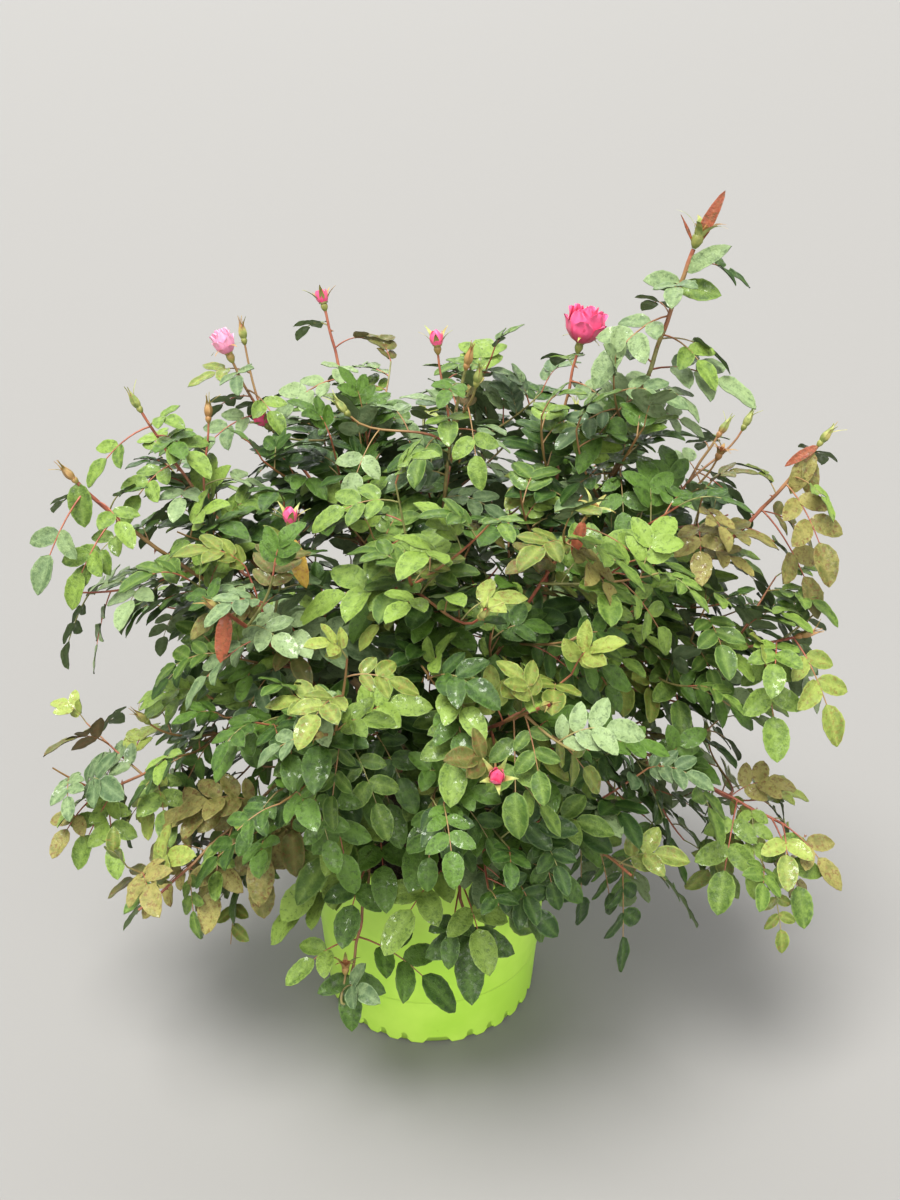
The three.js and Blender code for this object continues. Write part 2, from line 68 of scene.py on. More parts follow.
MUD = (0.10, 0.07, 0.04, 1)

# The rolled rim in section: how far it stands out and its height above the wall, in millimetres
RIM_SECTION = [(0, 0), (2.4, 0.3), (3.3, 1.2), (3.5, 3), (3.5, 5), (3.0, 6.6), (1.9, 7.7), (0.4, 8),
               (-1.2, 7.7), (-1.9, 6.8)]


class Shade:
    """A shader value. Python arithmetic on it adds Math nodes."""

    def __init__(self, material, socket=None):
        self.material = material
        self.socket = socket

    def node(self, kind, settings=None, sockets=None, output=0):
        made = self.material.node_tree.nodes.new(kind)
        for name, value in (settings or {}).items():
            setattr(made, name, value)
        self.fill(made, sockets or {})
        return Shade(self.material, made.outputs[output])

    def fill(self, made, sockets):
        """Gives a node's sockets their numbers and colours, or links from other values."""
        for name, value in sockets.items():
            if isinstance(value, Shade):
                self.material.node_tree.links.new(value.socket, made.inputs[name])
            else:
                made.inputs[name].default_value = value

    def maths(self, operation, *values):
        return self.node("ShaderNodeMath", {"operation": operation}, dict(enumerate(values)))

    def __add__(self, other):
        return self.maths("ADD", self, other)

    def __radd__(self, other):
        return self.maths("ADD", other, self)

    def __sub__(self, other):
        return self.maths("SUBTRACT", self, other)

    def __rsub__(self, other):
        return self.maths("SUBTRACT", other, self)

    def __mul__(self, other):
        return self.maths("MULTIPLY", self, other)

    def __rmul__(self, other):
        return self.maths("MULTIPLY", other, self)

    def __pow__(self, other):
        return self.maths("POWER", self, other)

    def between(self, low, high):
        """Nothing below low and all above high, with a soft step between."""
        ends = {"Value": self, "From Min": low, "From Max": high}
        return self.node("ShaderNodeMapRange", {"interpolation_type": "SMOOTHSTEP"}, ends)

    def blend(self, share, first, second):
        """Colour from first to second as share goes from 0 to 1."""
        return self.node("ShaderNodeMix", {"data_type": "RGBA"}, {0: share, 6: first, 7: second}, 2)

    def noise(self, where, scale, detail=3.0, rough=0.5):
        sockets = {"Vector": where, "Scale": scale, "Detail": detail, "Roughness": rough}
        return self.node("ShaderNodeTexNoise", None, sockets)

    def place(self):
        """Where a point lies on the object, in metres."""
        return self.node("ShaderNodeTexCoord", None, None, 3)

    def kept(self, name):
        """A value that the mesh keeps at each of its points."""
        return self.node("ShaderNodeAttribute", {"attribute_name": name}, None, 2)

    def bump(self, height, strength, distance):
        sockets = {"Height": height, "Strength": strength, "Distance": distance}
        return self.node("ShaderNodeBump", None, sockets)

    def surface(self, sockets):
        """Sets the finish: numbers and colours on the shader itself, varying values by links."""
        self.fill(self.material.node_tree.nodes["Principled BSDF"], sockets)


def new_finish(name):
    material = bpy.data.materials.new(name)
    material.use_nodes = True
    return Shade(material)


class Joined:
    """Grids of points gathered into one mesh, with a shade and a rib value at each point."""

    def __init__(self):
        self.points = []
        self.faces = []
        self.shades = []
        self.ribs = []
        self.count = 0

    def grid(self, points, closed=False, shade=0.5, rib=0.0):
        """Adds grids: points is (rows, columns, 3) or (grids, rows, columns, 3)."""
        points = np.asarray(points, dtype=float)
        if points.ndim == 3:
            points = points[None]
        grids, rows, columns, _ = points.shape
        number = np.arange(rows * columns).reshape(rows, columns)
        right = np.roll(number, -1, axis=1)
        if not closed:
            number, right = number[:, :-1], right[:, :-1]
        quads = np.stack([number[:-1], right[:-1], right[1:], number[1:]], axis=-1).reshape(-1, 4)
        starts = self.count + np.arange(grids) * rows * columns
        self.points.append(points.reshape(-1, 3))
        self.faces.append((starts[:, None, None] + quads[None]).reshape(-1, 4))
        whole = np.ones((grids, rows, columns))
        self.shades.append((whole * shade).ravel())
        self.ribs.append((whole * rib).ravel())
        self.count += grids * rows * columns

    def piece(self, name, finish, slot, nodes, smooth=True):
        mesh = bpy.data.meshes.new(name)
        mesh.from_pydata(np.concatenate(self.points), [], np.concatenate(self.faces))
        for kind, values in (("shade", self.shades), ("rib", self.ribs)):
            kept = mesh.attributes.new(kind, "FLOAT", "POINT")
            kept.data.foreach_set("value", np.concatenate(values))
        mesh.materials.append(finish.material)
        if smooth:
            mesh.shade_smooth()
        made = bpy.data.objects.new(name, mesh)
        bpy.context.scene.collection.objects.link(made)
        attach(made, "root")
        if nodes:
            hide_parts(*nodes)


def circle(turn, radius, height):
    """Points round the pot's axis at the angles of turn."""
    return np.stack([np.cos(turn) * radius, np.sin(turn) * radius, turn * 0 + height], axis=-1)


def wall_radius(height):
    return POT_FOOT_RADIUS + (POT_TOP_RADIUS - POT_FOOT_RADIUS) * height / (POT_HEIGHT - RIM_DEPTH)


def foot_shape(turn):
    """At each angle: how far the foot's edge is raised, by scallop valleys and drain notches, and
    how deep the small hollow above each valley is."""
    round_share = (turn - math.radians(DRAIN_AZIMUTH)) / math.tau
    from_valley = np.abs((round_share * SCALLOPS) % 1 - 0.5) * 2
    valley = np.clip(1 - (from_valley / SCALLOP_SHARE) ** 2, 0, 1)
    hollow = np.clip(1 - (from_valley / HOLLOW_SHARE) ** 2, 0, 1) ** 0.5
    notch = (round_share * DRAIN_NOTCHES + 0.5) % 1 - 0.5
    from_middle = np.abs(notch) / DRAIN_NOTCHES * math.tau * POT_FOOT_RADIUS
    sides = np.clip((DRAIN_WIDTH / 2 - from_middle) / (DRAIN_HEIGHT * 0.7), 0, 1)
    near_notch = from_middle < DRAIN_WIDTH * 0.62
    raised = np.where(near_notch, DRAIN_HEIGHT * sides, SCALLOP_HEIGHT * valley)
    return raised, np.where(near_notch, 0, hollow)


turn = np.linspace(0, math.tau, POT_SEGMENTS, endpoint=False)
lift, hollow = foot_shape(turn)
foot_radius = POT_FOOT_RADIUS - SCALLOP_INSET
rim_bottom = POT_HEIGHT - RIM_DEPTH
pot_rows = [
    (0.001, 0),
    (foot_radius - 0.003, 0),
    (foot_radius, lift * 0.7),
    (wall_radius(lift) - FOOT_ROUNDING - HOLLOW_DEPTH * hollow, lift),
]
for share in np.linspace(0, 1, 14):
    level = lift + 0.001 + (HOLLOW_TOP + 0.003 - lift) * share
    under_brow = np.clip((HOLLOW_TOP * hollow ** 0.6 - level) / FOOT_ROUNDING, 0, 1) * hollow
    pot_rows.append((wall_radius(level) - BAND_STEP - HOLLOW_DEPTH * under_brow, level))
for height in np.linspace(0.021, BAND_HEIGHT - 0.001, 8):
    pot_rows.append((wall_radius(height) - BAND_STEP, height))
pot_rows.append((wall_radius(BAND_HEIGHT) - BAND_STEP, BAND_HEIGHT))
pot_rows.append((wall_radius(BAND_HEIGHT), BAND_HEIGHT + BAND_STEP))
for height in np.linspace(BAND_HEIGHT + 0.003, rim_bottom - 0.001, 14):
    pot_rows.append((wall_radius(height), height))
for proud, height in RIM_SECTION:
    pot_rows.append((POT_TOP_RADIUS + proud * 0.001, rim_bottom + height * 0.001))
for height in np.linspace(0.2, POT_FLOOR, 12):
    pot_rows.append((wall_radius(height) - POT_WALL, height))
pot_rows.append((0.001, POT_FLOOR))

lime_plastic = new_finish("lime_plastic")
place = lime_plastic.place()
height_up = lime_plastic.node("ShaderNodeSeparateXYZ", None, {"Vector": place}, 2)
mottle = lime_plastic.noise(place, 14.0, 4.0)
scuffs = lime_plastic.noise(place, 190.0, 5.0, 0.7).between(0.62, 0.78)
near_foot = 1 - height_up.between(0.0, 0.05)
splash = lime_plastic.noise(place, 42.0, 6.0, 0.65).between(0.60, 0.80) * near_foot
plastic = lime_plastic.blend(mottle.between(0.35, 0.65), LIME, DEEP_LIME)
plastic = lime_plastic.blend(scuffs * 0.18, plastic, SCUFFED_LIME)
lime_plastic.surface({
    "Base Color": lime_plastic.blend(splash * 0.45, plastic, MUD),
    "Roughness": 0.30 + mottle * 0.16 + scuffs * 0.2,
    "Normal": lime_plastic.bump(lime_plastic.noise(place, 55.0, 2.0), 0.12, 0.002),
    "Specular IOR Level": 0.5,
})

pot = Joined()
pot.grid([circle(turn, radius, height) for radius, height in pot_rows], closed=True)
pot.piece("nursery_pot", lime_plastic, "pot_plastic", ["pot"])

# Potting mix
# Damp composted bark, poured to just below the rim and settled into an uneven surface. Loose
# chips and crumbs of pale wood lie on it.
SOIL_CLEARANCE = 0.00045
CHIPS = 620
SOIL_ROUGHNESS = 0.0042
SOIL_PITCH = 90
SOIL_UNDERSIDE = 0.0035
CHIP_LENGTHS = (0.002, 0.006)
MIX_DARK = (0.018, 0.011, 0.007, 1)
MIX_LIGHT = (0.105, 0.062, 0.036, 1)
CHIP_DARK = (0.06, 0.032, 0.018, 1)
CHIP_LIGHT = (0.19, 0.115, 0.065, 1)
chance = np.random.default_rng(2417)


def rippled(x, y, scale):
    """A smooth uneven height from 0 to 1, the same on every run."""
    height = np.zeros_like(x)
    for octave, (angle, share) in enumerate([(0.3, 0.4), (1.7, 0.25), (2.9, 0.2), (4.4, 0.15)]):
        pitch = scale * 1.7 ** octave
        height += share * np.sin(pitch * (x * math.cos(angle) + y * math.sin(angle)) + octave * 2.1)
        height += share * np.cos(pitch * (y * math.cos(angle) - x * math.sin(angle)) * 1.13 + angle)
    return height * 0.25 + 0.5


def soil_rise(x, y):
    return (rippled(x, y, SOIL_PITCH) - 0.9) * SOIL_ROUGHNESS * 2


potting_mix = new_finish("potting_mix")
place = potting_mix.place()
crumbs = potting_mix.noise(place, 130.0, 6.0, 0.7)
potting_mix.surface({
    "Base Color": potting_mix.blend(crumbs.between(0.35, 0.7), MIX_DARK, MIX_LIGHT),
    "Roughness": 0.75 + crumbs * 0.2,
    "Normal": potting_mix.bump(crumbs, 0.8, 0.004),
})

soil_radius = wall_radius(SOIL_HEIGHT) - POT_WALL - SOIL_CLEARANCE
mix_turn = np.linspace(0, math.tau, 144, endpoint=False)
mix_rows = []
for share in np.linspace(0.02, 1, 36):
    radius = soil_radius * share
    x = np.cos(mix_turn) * radius
    y = np.sin(mix_turn) * radius
    edge = np.clip((1 - share) * 9, 0, 1)
    mix_rows.append(circle(mix_turn, radius, SOIL_HEIGHT + soil_rise(x, y) * edge))
mix_rows.append(circle(mix_turn, wall_radius(0.004) - POT_WALL - 0.0006, SOIL_UNDERSIDE))
mix_rows.append(circle(mix_turn, 0, SOIL_UNDERSIDE))
soil = Joined()
soil.grid(mix_rows[::-1], closed=True)
soil.piece("potting_mix", potting_mix, "potting_mix", ["soil"])

bark_chip = new_finish("bark_chip")
place = bark_chip.place()
bark_chip.surface({
    "Base Color": bark_chip.blend(bark_chip.noise(place, 240.0).between(0.35, 0.65), CHIP_DARK, CHIP_LIGHT),
    "Roughness": 0.8,
})
chips = Joined()
for i in range(CHIPS):
    radius = soil_radius * 0.96 * math.sqrt(chance.random())
    angle = chance.random() * math.tau
    size = CHIP_LENGTHS[0] + CHIP_LENGTHS[1] * chance.random() ** 2
    centre = np.array([math.cos(angle) * radius, math.sin(angle) * radius, 0])
    centre[2] = SOIL_HEIGHT + soil_rise(centre[:1], centre[1:2])[0] + size * 0.12
    ring = np.linspace(0, math.tau, 5, endpoint=False) + chance.random(5) * 0.6
    long_way = chance.random() * math.tau
    flake = []
    for level, spread in [(-0.5, 0.3), (-0.3, 1), (0.3, 0.95), (0.5, 0.3)]:
        x = np.cos(ring) * size * 0.5 * spread
        y = np.sin(ring) * size * 0.28 * spread
        tilt = (chance.random() - 0.5) * 0.3
        row_x = x * math.cos(long_way) - y * math.sin(long_way)
        row_y = x * math.sin(long_way) + y * math.cos(long_way)
        flake.append(np.stack([row_x, row_y, x * tilt + level * size * 0.24], axis=-1) + centre)
    chips.grid(flake, closed=True)
chips.piece("bark_chips", bark_chip, "potting_mix", [], smooth=False)

# Stem base and canes
# A short knobby stump of old grey-brown bark stands in the potting mix. Canes rise from it, olive
# to red-brown, with a slight swelling at each node and scattered hooked prickles.
STEM_BASE_HEIGHT = 0.062
STEM_FLARE_RADIUS = 0.025
STEM_NECK_RADIUS = 0.017
STEM_KNOB_RADIUS = 0.021
MAIN_ROOT_RADIUS = 0.0052
MAIN_TIP_RADIUS = 0.0030
SIDE_ROOT_RADIUS = 0.0033
SIDE_TIP_RADIUS = 0.0024
SPRAY_TIP_RADIUS = 0.0012
STEM_SHRINK = 0.74
STEM_ZIGZAG = 0.0026
MAIN_CANE_SHARE = 0.4
SIDE_CANE_SHARE = 0.22
MAIN_START_SLOPE = [52, 72]
LIMB_STEP = 0.0035
STEM_STEP = 0.004
CANE_NODE_SPACING = 0.030
PRICKLE_SPACING = 0.013
PRICKLE_LENGTH = 0.0048
OLD_BARK_DARK = (0.055, 0.036, 0.022, 1)
OLD_BARK_LIGHT = (0.24, 0.175, 0.11, 1)
SEED = 2417
WORD = 0xFFFFFFFF
UP = np.array([0.0, 0.0, 1.0])

# Each shoot: azimuth of its tip in degrees (0 is right, 270 is the front), how far the tip
# reaches from the pot's axis and its height, in metres
MAIN_SHOOTS = {
    "right_far": (3, 0.368, 0.620),
    "back_right": (48, 0.315, 0.520),
    "back_middle": (92, 0.285, 0.560),
    "back_top": (130, 0.158, 0.722),
    "back_left": (150, 0.312, 0.480),
    "left_far": (189, 0.320, 0.610),
    "left_front": (226, 0.252, 0.545),
    "front_left": (255, 0.312, 0.495),
    "front_right": (288, 0.306, 0.515),
    "centre_top": (330, 0.045, 0.706),
    "right_tall": (5, 0.236, 0.800),
}

# Side shoots add the main shoot that each leaves and how far along its bare cane
SIDE_SHOOTS = {
    "left_upper": (180, 0.262, 0.660, "left_far", 0.9),
    "left_bloom": (157, 0.207, 0.688, "back_top", 0.8),
    "open_bloom": (16, 0.149, 0.714, "right_tall", 0.8),
    "right_buds": (19, 0.308, 0.600, "right_far", 0.92),
    "right_middle": (350, 0.360, 0.455, "right_far", 0.7),
    "right_low": (345, 0.384, 0.250, "right_far", 0.45),
    "front_top": (266, 0.200, 0.590, "centre_top", 0.85),
    "right_front_top": (314, 0.200, 0.616, "front_right", 0.92),
    "left_low": (190, 0.358, 0.262, "left_far", 0.5),
    "left_hanging": (211, 0.312, 0.215, "left_front", 0.6),
    "front_hanging_left": (250, 0.236, 0.135, "front_left", 0.5),
    "front_hanging_right": (281, 0.246, 0.178, "front_right", 0.5),
    "right_front_low": (311, 0.272, 0.290, "front_right", 0.72),
    "back_low_left": (122, 0.305, 0.275, "back_left", 0.62),
    "back_low": (85, 0.292, 0.300, "back_middle", 0.62),
    "back_low_right": (48, 0.312, 0.270, "back_right", 0.62),
    "back_upper": (72, 0.140, 0.665, "back_middle", 0.92),
}


def draw(*keys):
    """A repeatable number from 0 to 1 for any list of whole numbers."""
    state = SEED
    for key in keys:
        state = (((state ^ (key + 0x9E3779B9)) & WORD) * 0x85EBCA6B) & WORD
        state ^= state >> 13
        state = (state * 0xC2B2AE35) & WORD
        state ^= state >> 16
    return state / 4294967296


def unit(vector):
    return vector / np.linalg.norm(vector)


def polar(azimuth, radius, height):
    angle = math.radians(azimuth)
    return np.array([math.cos(angle) * radius, math.sin(angle) * radius, height])


class Curve:
    """A cubic curve from root to tip, with places on it given by their share of its length."""

    def __init__(self, controls):
        self.controls = np.array(controls)
        self.steps = np.linspace(0, 1, 201)
        points = self.point(self.steps)
        lengths = np.linalg.norm(np.diff(points, axis=0), axis=1)
        self.run = np.concatenate([[0], np.cumsum(lengths)])
        self.length = self.run[-1]

    def point(self, step):
        step = np.atleast_1d(step)[:, None]
        a, b, c, d = self.controls
        rest = 1 - step
        return a * rest ** 3 + 3 * b * rest ** 2 * step + 3 * c * rest * step ** 2 + d * step ** 3

    def step(self, share):
        return np.interp(np.asarray(share) * self.length, self.run, self.steps)

    def at(self, share):
        return self.point(self.step(share))[0]

    def tangent(self, share):
        low = max(share - 0.001, 0)
        high = min(share + 0.001, 1)
        return unit(self.at(high) - self.at(low))

    def spaced(self, count):
        return self.point(self.step(np.linspace(0, 1, count + 1)))

    def part(self, start, end):
        start, end = self.step(start), self.step(end)

        def mixed(*shares):
            row = self.controls
            for share in shares:
                row = row[:-1] * (1 - share) + row[1:] * share
            return row[0]

        return Curve([mixed(start, start, start), mixed(start, start, end), mixed(start, end, end),
                      mixed(end, end, end)])


def cross_frames(points):
    """Two directions across a line of points at each point, carried along it without twisting."""
    tangents = np.gradient(points, axis=0)
    tangents /= np.linalg.norm(tangents, axis=1)[:, None]
    side = np.cross(tangents[0], UP)
    if np.linalg.norm(side) < 0.1:
        side = np.array([1.0, 0, 0])
    sides = []
    for tangent in tangents:
        side = unit(side - tangent * np.dot(side, tangent))
        sides.append(side)
    sides = np.array(sides)
    return sides, np.cross(tangents, sides)


def tube(points, radii, sides):
    """Rings of points round a line. Radii is one number for each point, or a whole grid."""
    points = np.asarray(points)
    across, over = cross_frames(points)
    angle = np.linspace(0, math.tau, sides, endpoint=False)
    if np.ndim(radii) < 2:
        radii = np.reshape(radii, (-1, 1))
    radii = np.broadcast_to(radii, (len(points), sides))
    ring = np.cos(angle)[None, :, None] * across[:, None] + np.sin(angle)[None, :, None] * over[:, None]
    return points[:, None] + ring * radii[:, :, None]


shoots = {}


def add_shoot(name, root, start, place, share, radii):
    """One limb from root to tip, in two parts: its bare cane and the leafy stem beyond it."""
    azimuth, reach, height = place
    tip = polar(azimuth, reach, height)
    span = np.linalg.norm(tip - root)
    slope = math.radians(min(max((height * 1000 - 330) / 5, -62), 72))
    heading = polar(azimuth, math.cos(slope), math.sin(slope))
    whole = Curve([root, root + start * span * 0.38, tip - heading * span * 0.36, tip])
    shoots[name] = {"index": len(shoots), "reach": reach, "radii": radii, "whole": whole,
                    "cane": whole.part(0, share), "stem": whole.part(share, 1)}


for i, (name, place) in enumerate(MAIN_SHOOTS.items()):
    tier = i % 2
    foot_azimuth = i * 360 / len(MAIN_SHOOTS)
    root = polar(foot_azimuth, 0.005, SOIL_HEIGHT + STEM_BASE_HEIGHT * (0.5 + 0.22 * tier))
    slope = math.radians(MAIN_START_SLOPE[tier])
    start = polar(foot_azimuth, math.cos(slope), math.sin(slope))
    add_shoot(name, root, start, place, MAIN_CANE_SHARE, (MAIN_ROOT_RADIUS, MAIN_TIP_RADIUS))
for name, (*place, parent, place_on) in SIDE_SHOOTS.items():
    carrier = shoots[parent]["whole"]
    along = place_on * MAIN_CANE_SHARE
    root = carrier.at(along)
    start = unit(unit(polar(*place) - root) * 0.8 + carrier.tangent(along) * 0.5 + UP * 0.35)
    add_shoot(name, root, start, place, SIDE_CANE_SHARE, (SIDE_ROOT_RADIUS, SIDE_TIP_RADIUS))

old_bark = new_finish("old_bark")
place = old_bark.place()
stretched = old_bark.node("ShaderNodeMapping", None, {"Vector": place, "Scale": (1, 1, 0.22)})
furrows = old_bark.noise(stretched, 320.0, 5.0, 0.65)
old_bark.surface({
    "Base Color": old_bark.blend(furrows.between(0.3, 0.7), OLD_BARK_DARK, OLD_BARK_LIGHT),
    "Roughness": 0.7 + furrows * 0.25,
    "Normal": old_bark.bump(furrows, 0.9, 0.003),
})

base_rows = []
base_turn = np.linspace(0, math.tau, 96, endpoint=False)
base_outline = [(0.0, STEM_FLARE_RADIUS), (0.2, STEM_NECK_RADIUS + 0.002), (0.4, STEM_NECK_RADIUS),
                (0.62, STEM_KNOB_RADIUS), (0.82, STEM_KNOB_RADIUS - 0.002), (0.95, STEM_KNOB_RADIUS * 0.6),
                (1.0, 0.001)]
for level in np.linspace(0, 1, 44):
    radius = np.interp(level, [row[0] for row in base_outline], [row[1] for row in base_outline])
    knobs = rippled(base_turn * 0.02, level * 0.03 + base_turn * 0, 300) - 0.5
    ridges = 0.0009 * np.sin(base_turn * 17 + level * 9 + knobs * 3)
    radius = radius * (1 + knobs * 0.22) + ridges * (1 - level)
    base_height = SOIL_HEIGHT - 0.003 + (STEM_BASE_HEIGHT + 0.003) * level
    base_rows.append(circle(base_turn, radius, base_height))
stem_base = Joined()
stem_base.grid(base_rows, closed=True)
stem_base.piece("stem_base_bark", old_bark, "old_bark", ["stem_base"])


def cane_finish(name, dark, light, sunny):
    """Living bark: smooth and slightly glossy, mottled, flushed on some stretches."""
    made = new_finish(name)
    place = made.place()
    mottle = made.noise(place, 95.0, 4.0, 0.6)
    flush = made.noise(place, 9.0, 2.0)
    bark = made.blend(mottle.between(0.3, 0.7), dark, light)
    made.surface({
        "Base Color": made.blend(flush.between(0.42, 0.62) * 0.75, bark, sunny),
        "Roughness": 0.38 + mottle * 0.25,
        "Normal": made.bump(made.noise(place, 420.0, 3.0), 0.35, 0.0006),
    })
    return made


cane_bark = cane_finish("cane_bark",
                        (0.085, 0.075, 0.028, 1), (0.23, 0.215, 0.085, 1), (0.20, 0.095, 0.045, 1))
prickle_horn = cane_finish("prickle_horn",
                           (0.20, 0.07, 0.035, 1), (0.34, 0.16, 0.08, 1), (0.30, 0.10, 0.06, 1))

canes = Joined()
prickles = Joined()


def limb_radii(length, root_radius, tip_radius, count, sides, key):
    """Taper with a swelling at each node and fine ridges of bark."""
    run = np.linspace(0, 1, count)
    taper = root_radius + (tip_radius - root_radius) * run
    knots = (run * length / CANE_NODE_SPACING) % 1
    swelling = 1 + 0.13 * np.exp(-((knots - 0.5) / 0.07) ** 2)
    angle = np.linspace(0, math.tau, sides, endpoint=False)
    ridges = 1 + 0.035 * np.sin(angle[None] * 3 + run[:, None] * 21 + key)
    return (taper * swelling)[:, None] * ridges


def grow_prickles(curve, root_radius, tip_radius, key, spacing=PRICKLE_SPACING, size=PRICKLE_LENGTH):
    """Hooked prickles up a limb, each a flattened spike on a long foot."""
    count = int(curve.length / spacing)
    for n in range(count):
        share = (n + 0.2 + 0.6 * draw(key, n, 31)) / count
        tangent = curve.tangent(share)
        side = unit(np.cross(tangent, UP + 0.01))
        turn_by = draw(key, n, 32) * math.tau
        out = side * math.cos(turn_by) + np.cross(tangent, side) * math.sin(turn_by)
        radius = root_radius + (tip_radius - root_radius) * share
        length = size * (0.6 + 0.6 * draw(key, n, 33))
        foot = curve.at(share) + out * radius * 0.8
        wide = unit(np.cross(out, tangent))
        rows = []
        for level, spread in [(0, 1), (0.45, 0.5), (1, 0.04)]:
            centre = foot + out * length * level - tangent * length * 0.45 * level ** 2
            rows.append([centre + tangent * length * 0.38 * spread * math.cos(a)
                         + wide * length * 0.16 * spread * math.sin(a)
                         for a in (0, math.tau / 4, math.tau / 2, math.tau * 3 / 4)])
        prickles.grid(rows, closed=True)


for shoot in shoots.values():
    cane = shoot["cane"]
    count = max(int(cane.length / LIMB_STEP), 12)
    radii = limb_radii(cane.length, *shoot["radii"], count + 1, 10, shoot["index"])
    canes.grid(tube(cane.spaced(count), radii, 10), closed=True)
    grow_prickles(cane, *shoot["radii"], shoot["index"])
canes.piece("canes", cane_bark, "cane_bark", ["cane_" + name for name in shoots])

# Sprays of leaves
# Each cane runs on as a leafy stem with side twigs. Compound leaves of three to seven toothed
# leaflets leave every node by the golden angle, on slender reddish stalks, wet and glossy above
# and paler below. Some sprays are tinted bronze or yellow by the season.
NODE_SPACING = 0.022
TWIG_LENGTH = 0.118
TWIG_LEAF_SPACING = 0.0178
TWIG_TRIES = 8
TWIG_STEPS = 10
LEAF_SIZE = 0.087
LEAF_TRIES = 6
LEAF_STALK_SHARE = 0.62
STALK_POINTS = 7
STALK_RADIUS = 0.0007
LEAF_LIFT = 0.10
LEAF_SAG = 0.40
FACE_SWING = 1.1
FACE_OWN_WAY = 0.4
FACE_HEIGHTS = (0.20, 0.42, 0.60)
FACE_LEANS = (0.9, 0.6, 0.15)
GOLDEN_ANGLE = 137.5
LIMB_MARGIN = 0.0022
INNER_SHARE = 0.42
NEIGHBOUR_SLACK = 0.018
REACH_SPARE = 0.024
CROWN_RADIUS = 0.285
CLOSEST_LEAFLETS = 0.0098
TIP_HANG = 0.045
LOWEST_LEAF = 0.095
SKIRT_HEIGHT = 0.165
LEAFLET_ROWS = 10
LEAFLET_WIDTH = 0.57
LEAFLET_THICKNESS = 0.0005
UPPER_COLUMNS = [-1, -0.5, 0, 0.5, 1]
UNDER_COLUMNS = [1, 0, -1]
LEAFLETS = [(1.0, 0, 0.44), (0.72, 1, 0.37), (0.70, -1, 0.37), (0.37, 1, 0.32), (0.35, -1, 0.32),
            (0.10, 1, 0.26), (0.08, -1, 0.26)]

# Upper colours of a leaf, shaded and light, then its midrib and its stains
TINTS = {
    "deep_green": ((0.012, 0.040, 0.004, 1), (0.066, 0.138, 0.014, 1),
                   (0.12, 0.21, 0.045, 1), (0.008, 0.022, 0.003, 1)),
    "mid_green": ((0.038, 0.086, 0.009, 1), (0.172, 0.264, 0.040, 1),
                  (0.25, 0.36, 0.08, 1), (0.022, 0.054, 0.007, 1)),
    "blue_green": ((0.046, 0.092, 0.034, 1), (0.215, 0.295, 0.125, 1),
                   (0.27, 0.37, 0.18, 1), (0.032, 0.062, 0.022, 1)),
    "yellow_green": ((0.080, 0.120, 0.015, 1), (0.226, 0.290, 0.055, 1),
                     (0.37, 0.42, 0.10, 1), (0.145, 0.100, 0.020, 1)),
    "bronze": ((0.068, 0.080, 0.013, 1), (0.258, 0.234, 0.066, 1),
               (0.26, 0.22, 0.07, 1), (0.115, 0.045, 0.015, 1)),
    "old_gold": ((0.380, 0.230, 0.030, 1), (0.600, 0.410, 0.060, 1),
                 (0.55, 0.33, 0.08, 1), (0.300, 0.110, 0.030, 1)),
    "young_red": ((0.160, 0.034, 0.014, 1), (0.330, 0.085, 0.038, 1),
                  (0.36, 0.13, 0.05, 1), (0.100, 0.055, 0.020, 1)),
}
SUMMER = [("deep_green", 0.28), ("mid_green", 0.42), ("blue_green", 0.16), ("yellow_green", 0.14)]
# Mostly deep green, the leaves' own tint, dealt to inner twigs to paint shade into the middle of the crown
PAINTED_SHADE_MIX = [("deep_green", 0.75), ("mid_green", 0.25)]
BLUISH = [("deep_green", 0.12), ("mid_green", 0.20), ("blue_green", 0.57), ("yellow_green", 0.07),
          ("bronze", 0.04)]
FRESH = [("mid_green", 0.54), ("blue_green", 0.08), ("yellow_green", 0.32), ("bronze", 0.06)]
TURNING = [("mid_green", 0.50), ("yellow_green", 0.28), ("bronze", 0.20), ("old_gold", 0.02)]
BRONZED = [("mid_green", 0.30), ("yellow_green", 0.18), ("bronze", 0.47), ("young_red", 0.05)]
SPRAY_TINTS = {
    "right_far": TURNING, "right_low": TURNING, "right_middle": FRESH, "left_hanging": BRONZED,
    "left_low": BLUISH, "left_front": BLUISH, "left_far": BLUISH, "left_upper": BLUISH,
    "front_right": FRESH, "front_left": SUMMER, "front_top": FRESH, "right_front_top": TURNING,
    "right_tall": BLUISH, "right_front_low": SUMMER, "front_hanging_left": SUMMER, "back_low": TURNING,
    "left_bloom": BLUISH, "back_top": BLUISH, "open_bloom": BLUISH, "centre_top": BLUISH,
    "right_buds": BLUISH, "back_right": BLUISH, "back_upper": BLUISH,
}

# Sprays in front of the pot carry a few large leaves and no side twigs
FEW_LEAVED = ("front_hanging_left", "front_hanging_right")

# Stems that end before their shoot does, green ones, and ones that stay stout up to the tip
STEM_ENDS = {"front_hanging_left": 0.83, "front_hanging_right": 0.67, "left_low": 0.91, "right_low": 0.88}
GREEN_STEMS = ("right_tall", "back_middle", "back_right", "centre_top")
STOUT_TIPS = {"right_tall": 0.0020, "left_far": 0.0017, "right_far": 0.0016, "left_front": 0.0016,
              "front_hanging_left": 0.0012, "front_hanging_right": 0.0011}

# Tall and outer shoots carry fewer and smaller leaves towards their tips
OPEN_TIPS = ("left_far", "left_upper", "left_bloom", "back_top", "open_bloom", "right_tall", "right_buds",
             "right_far", "centre_top")

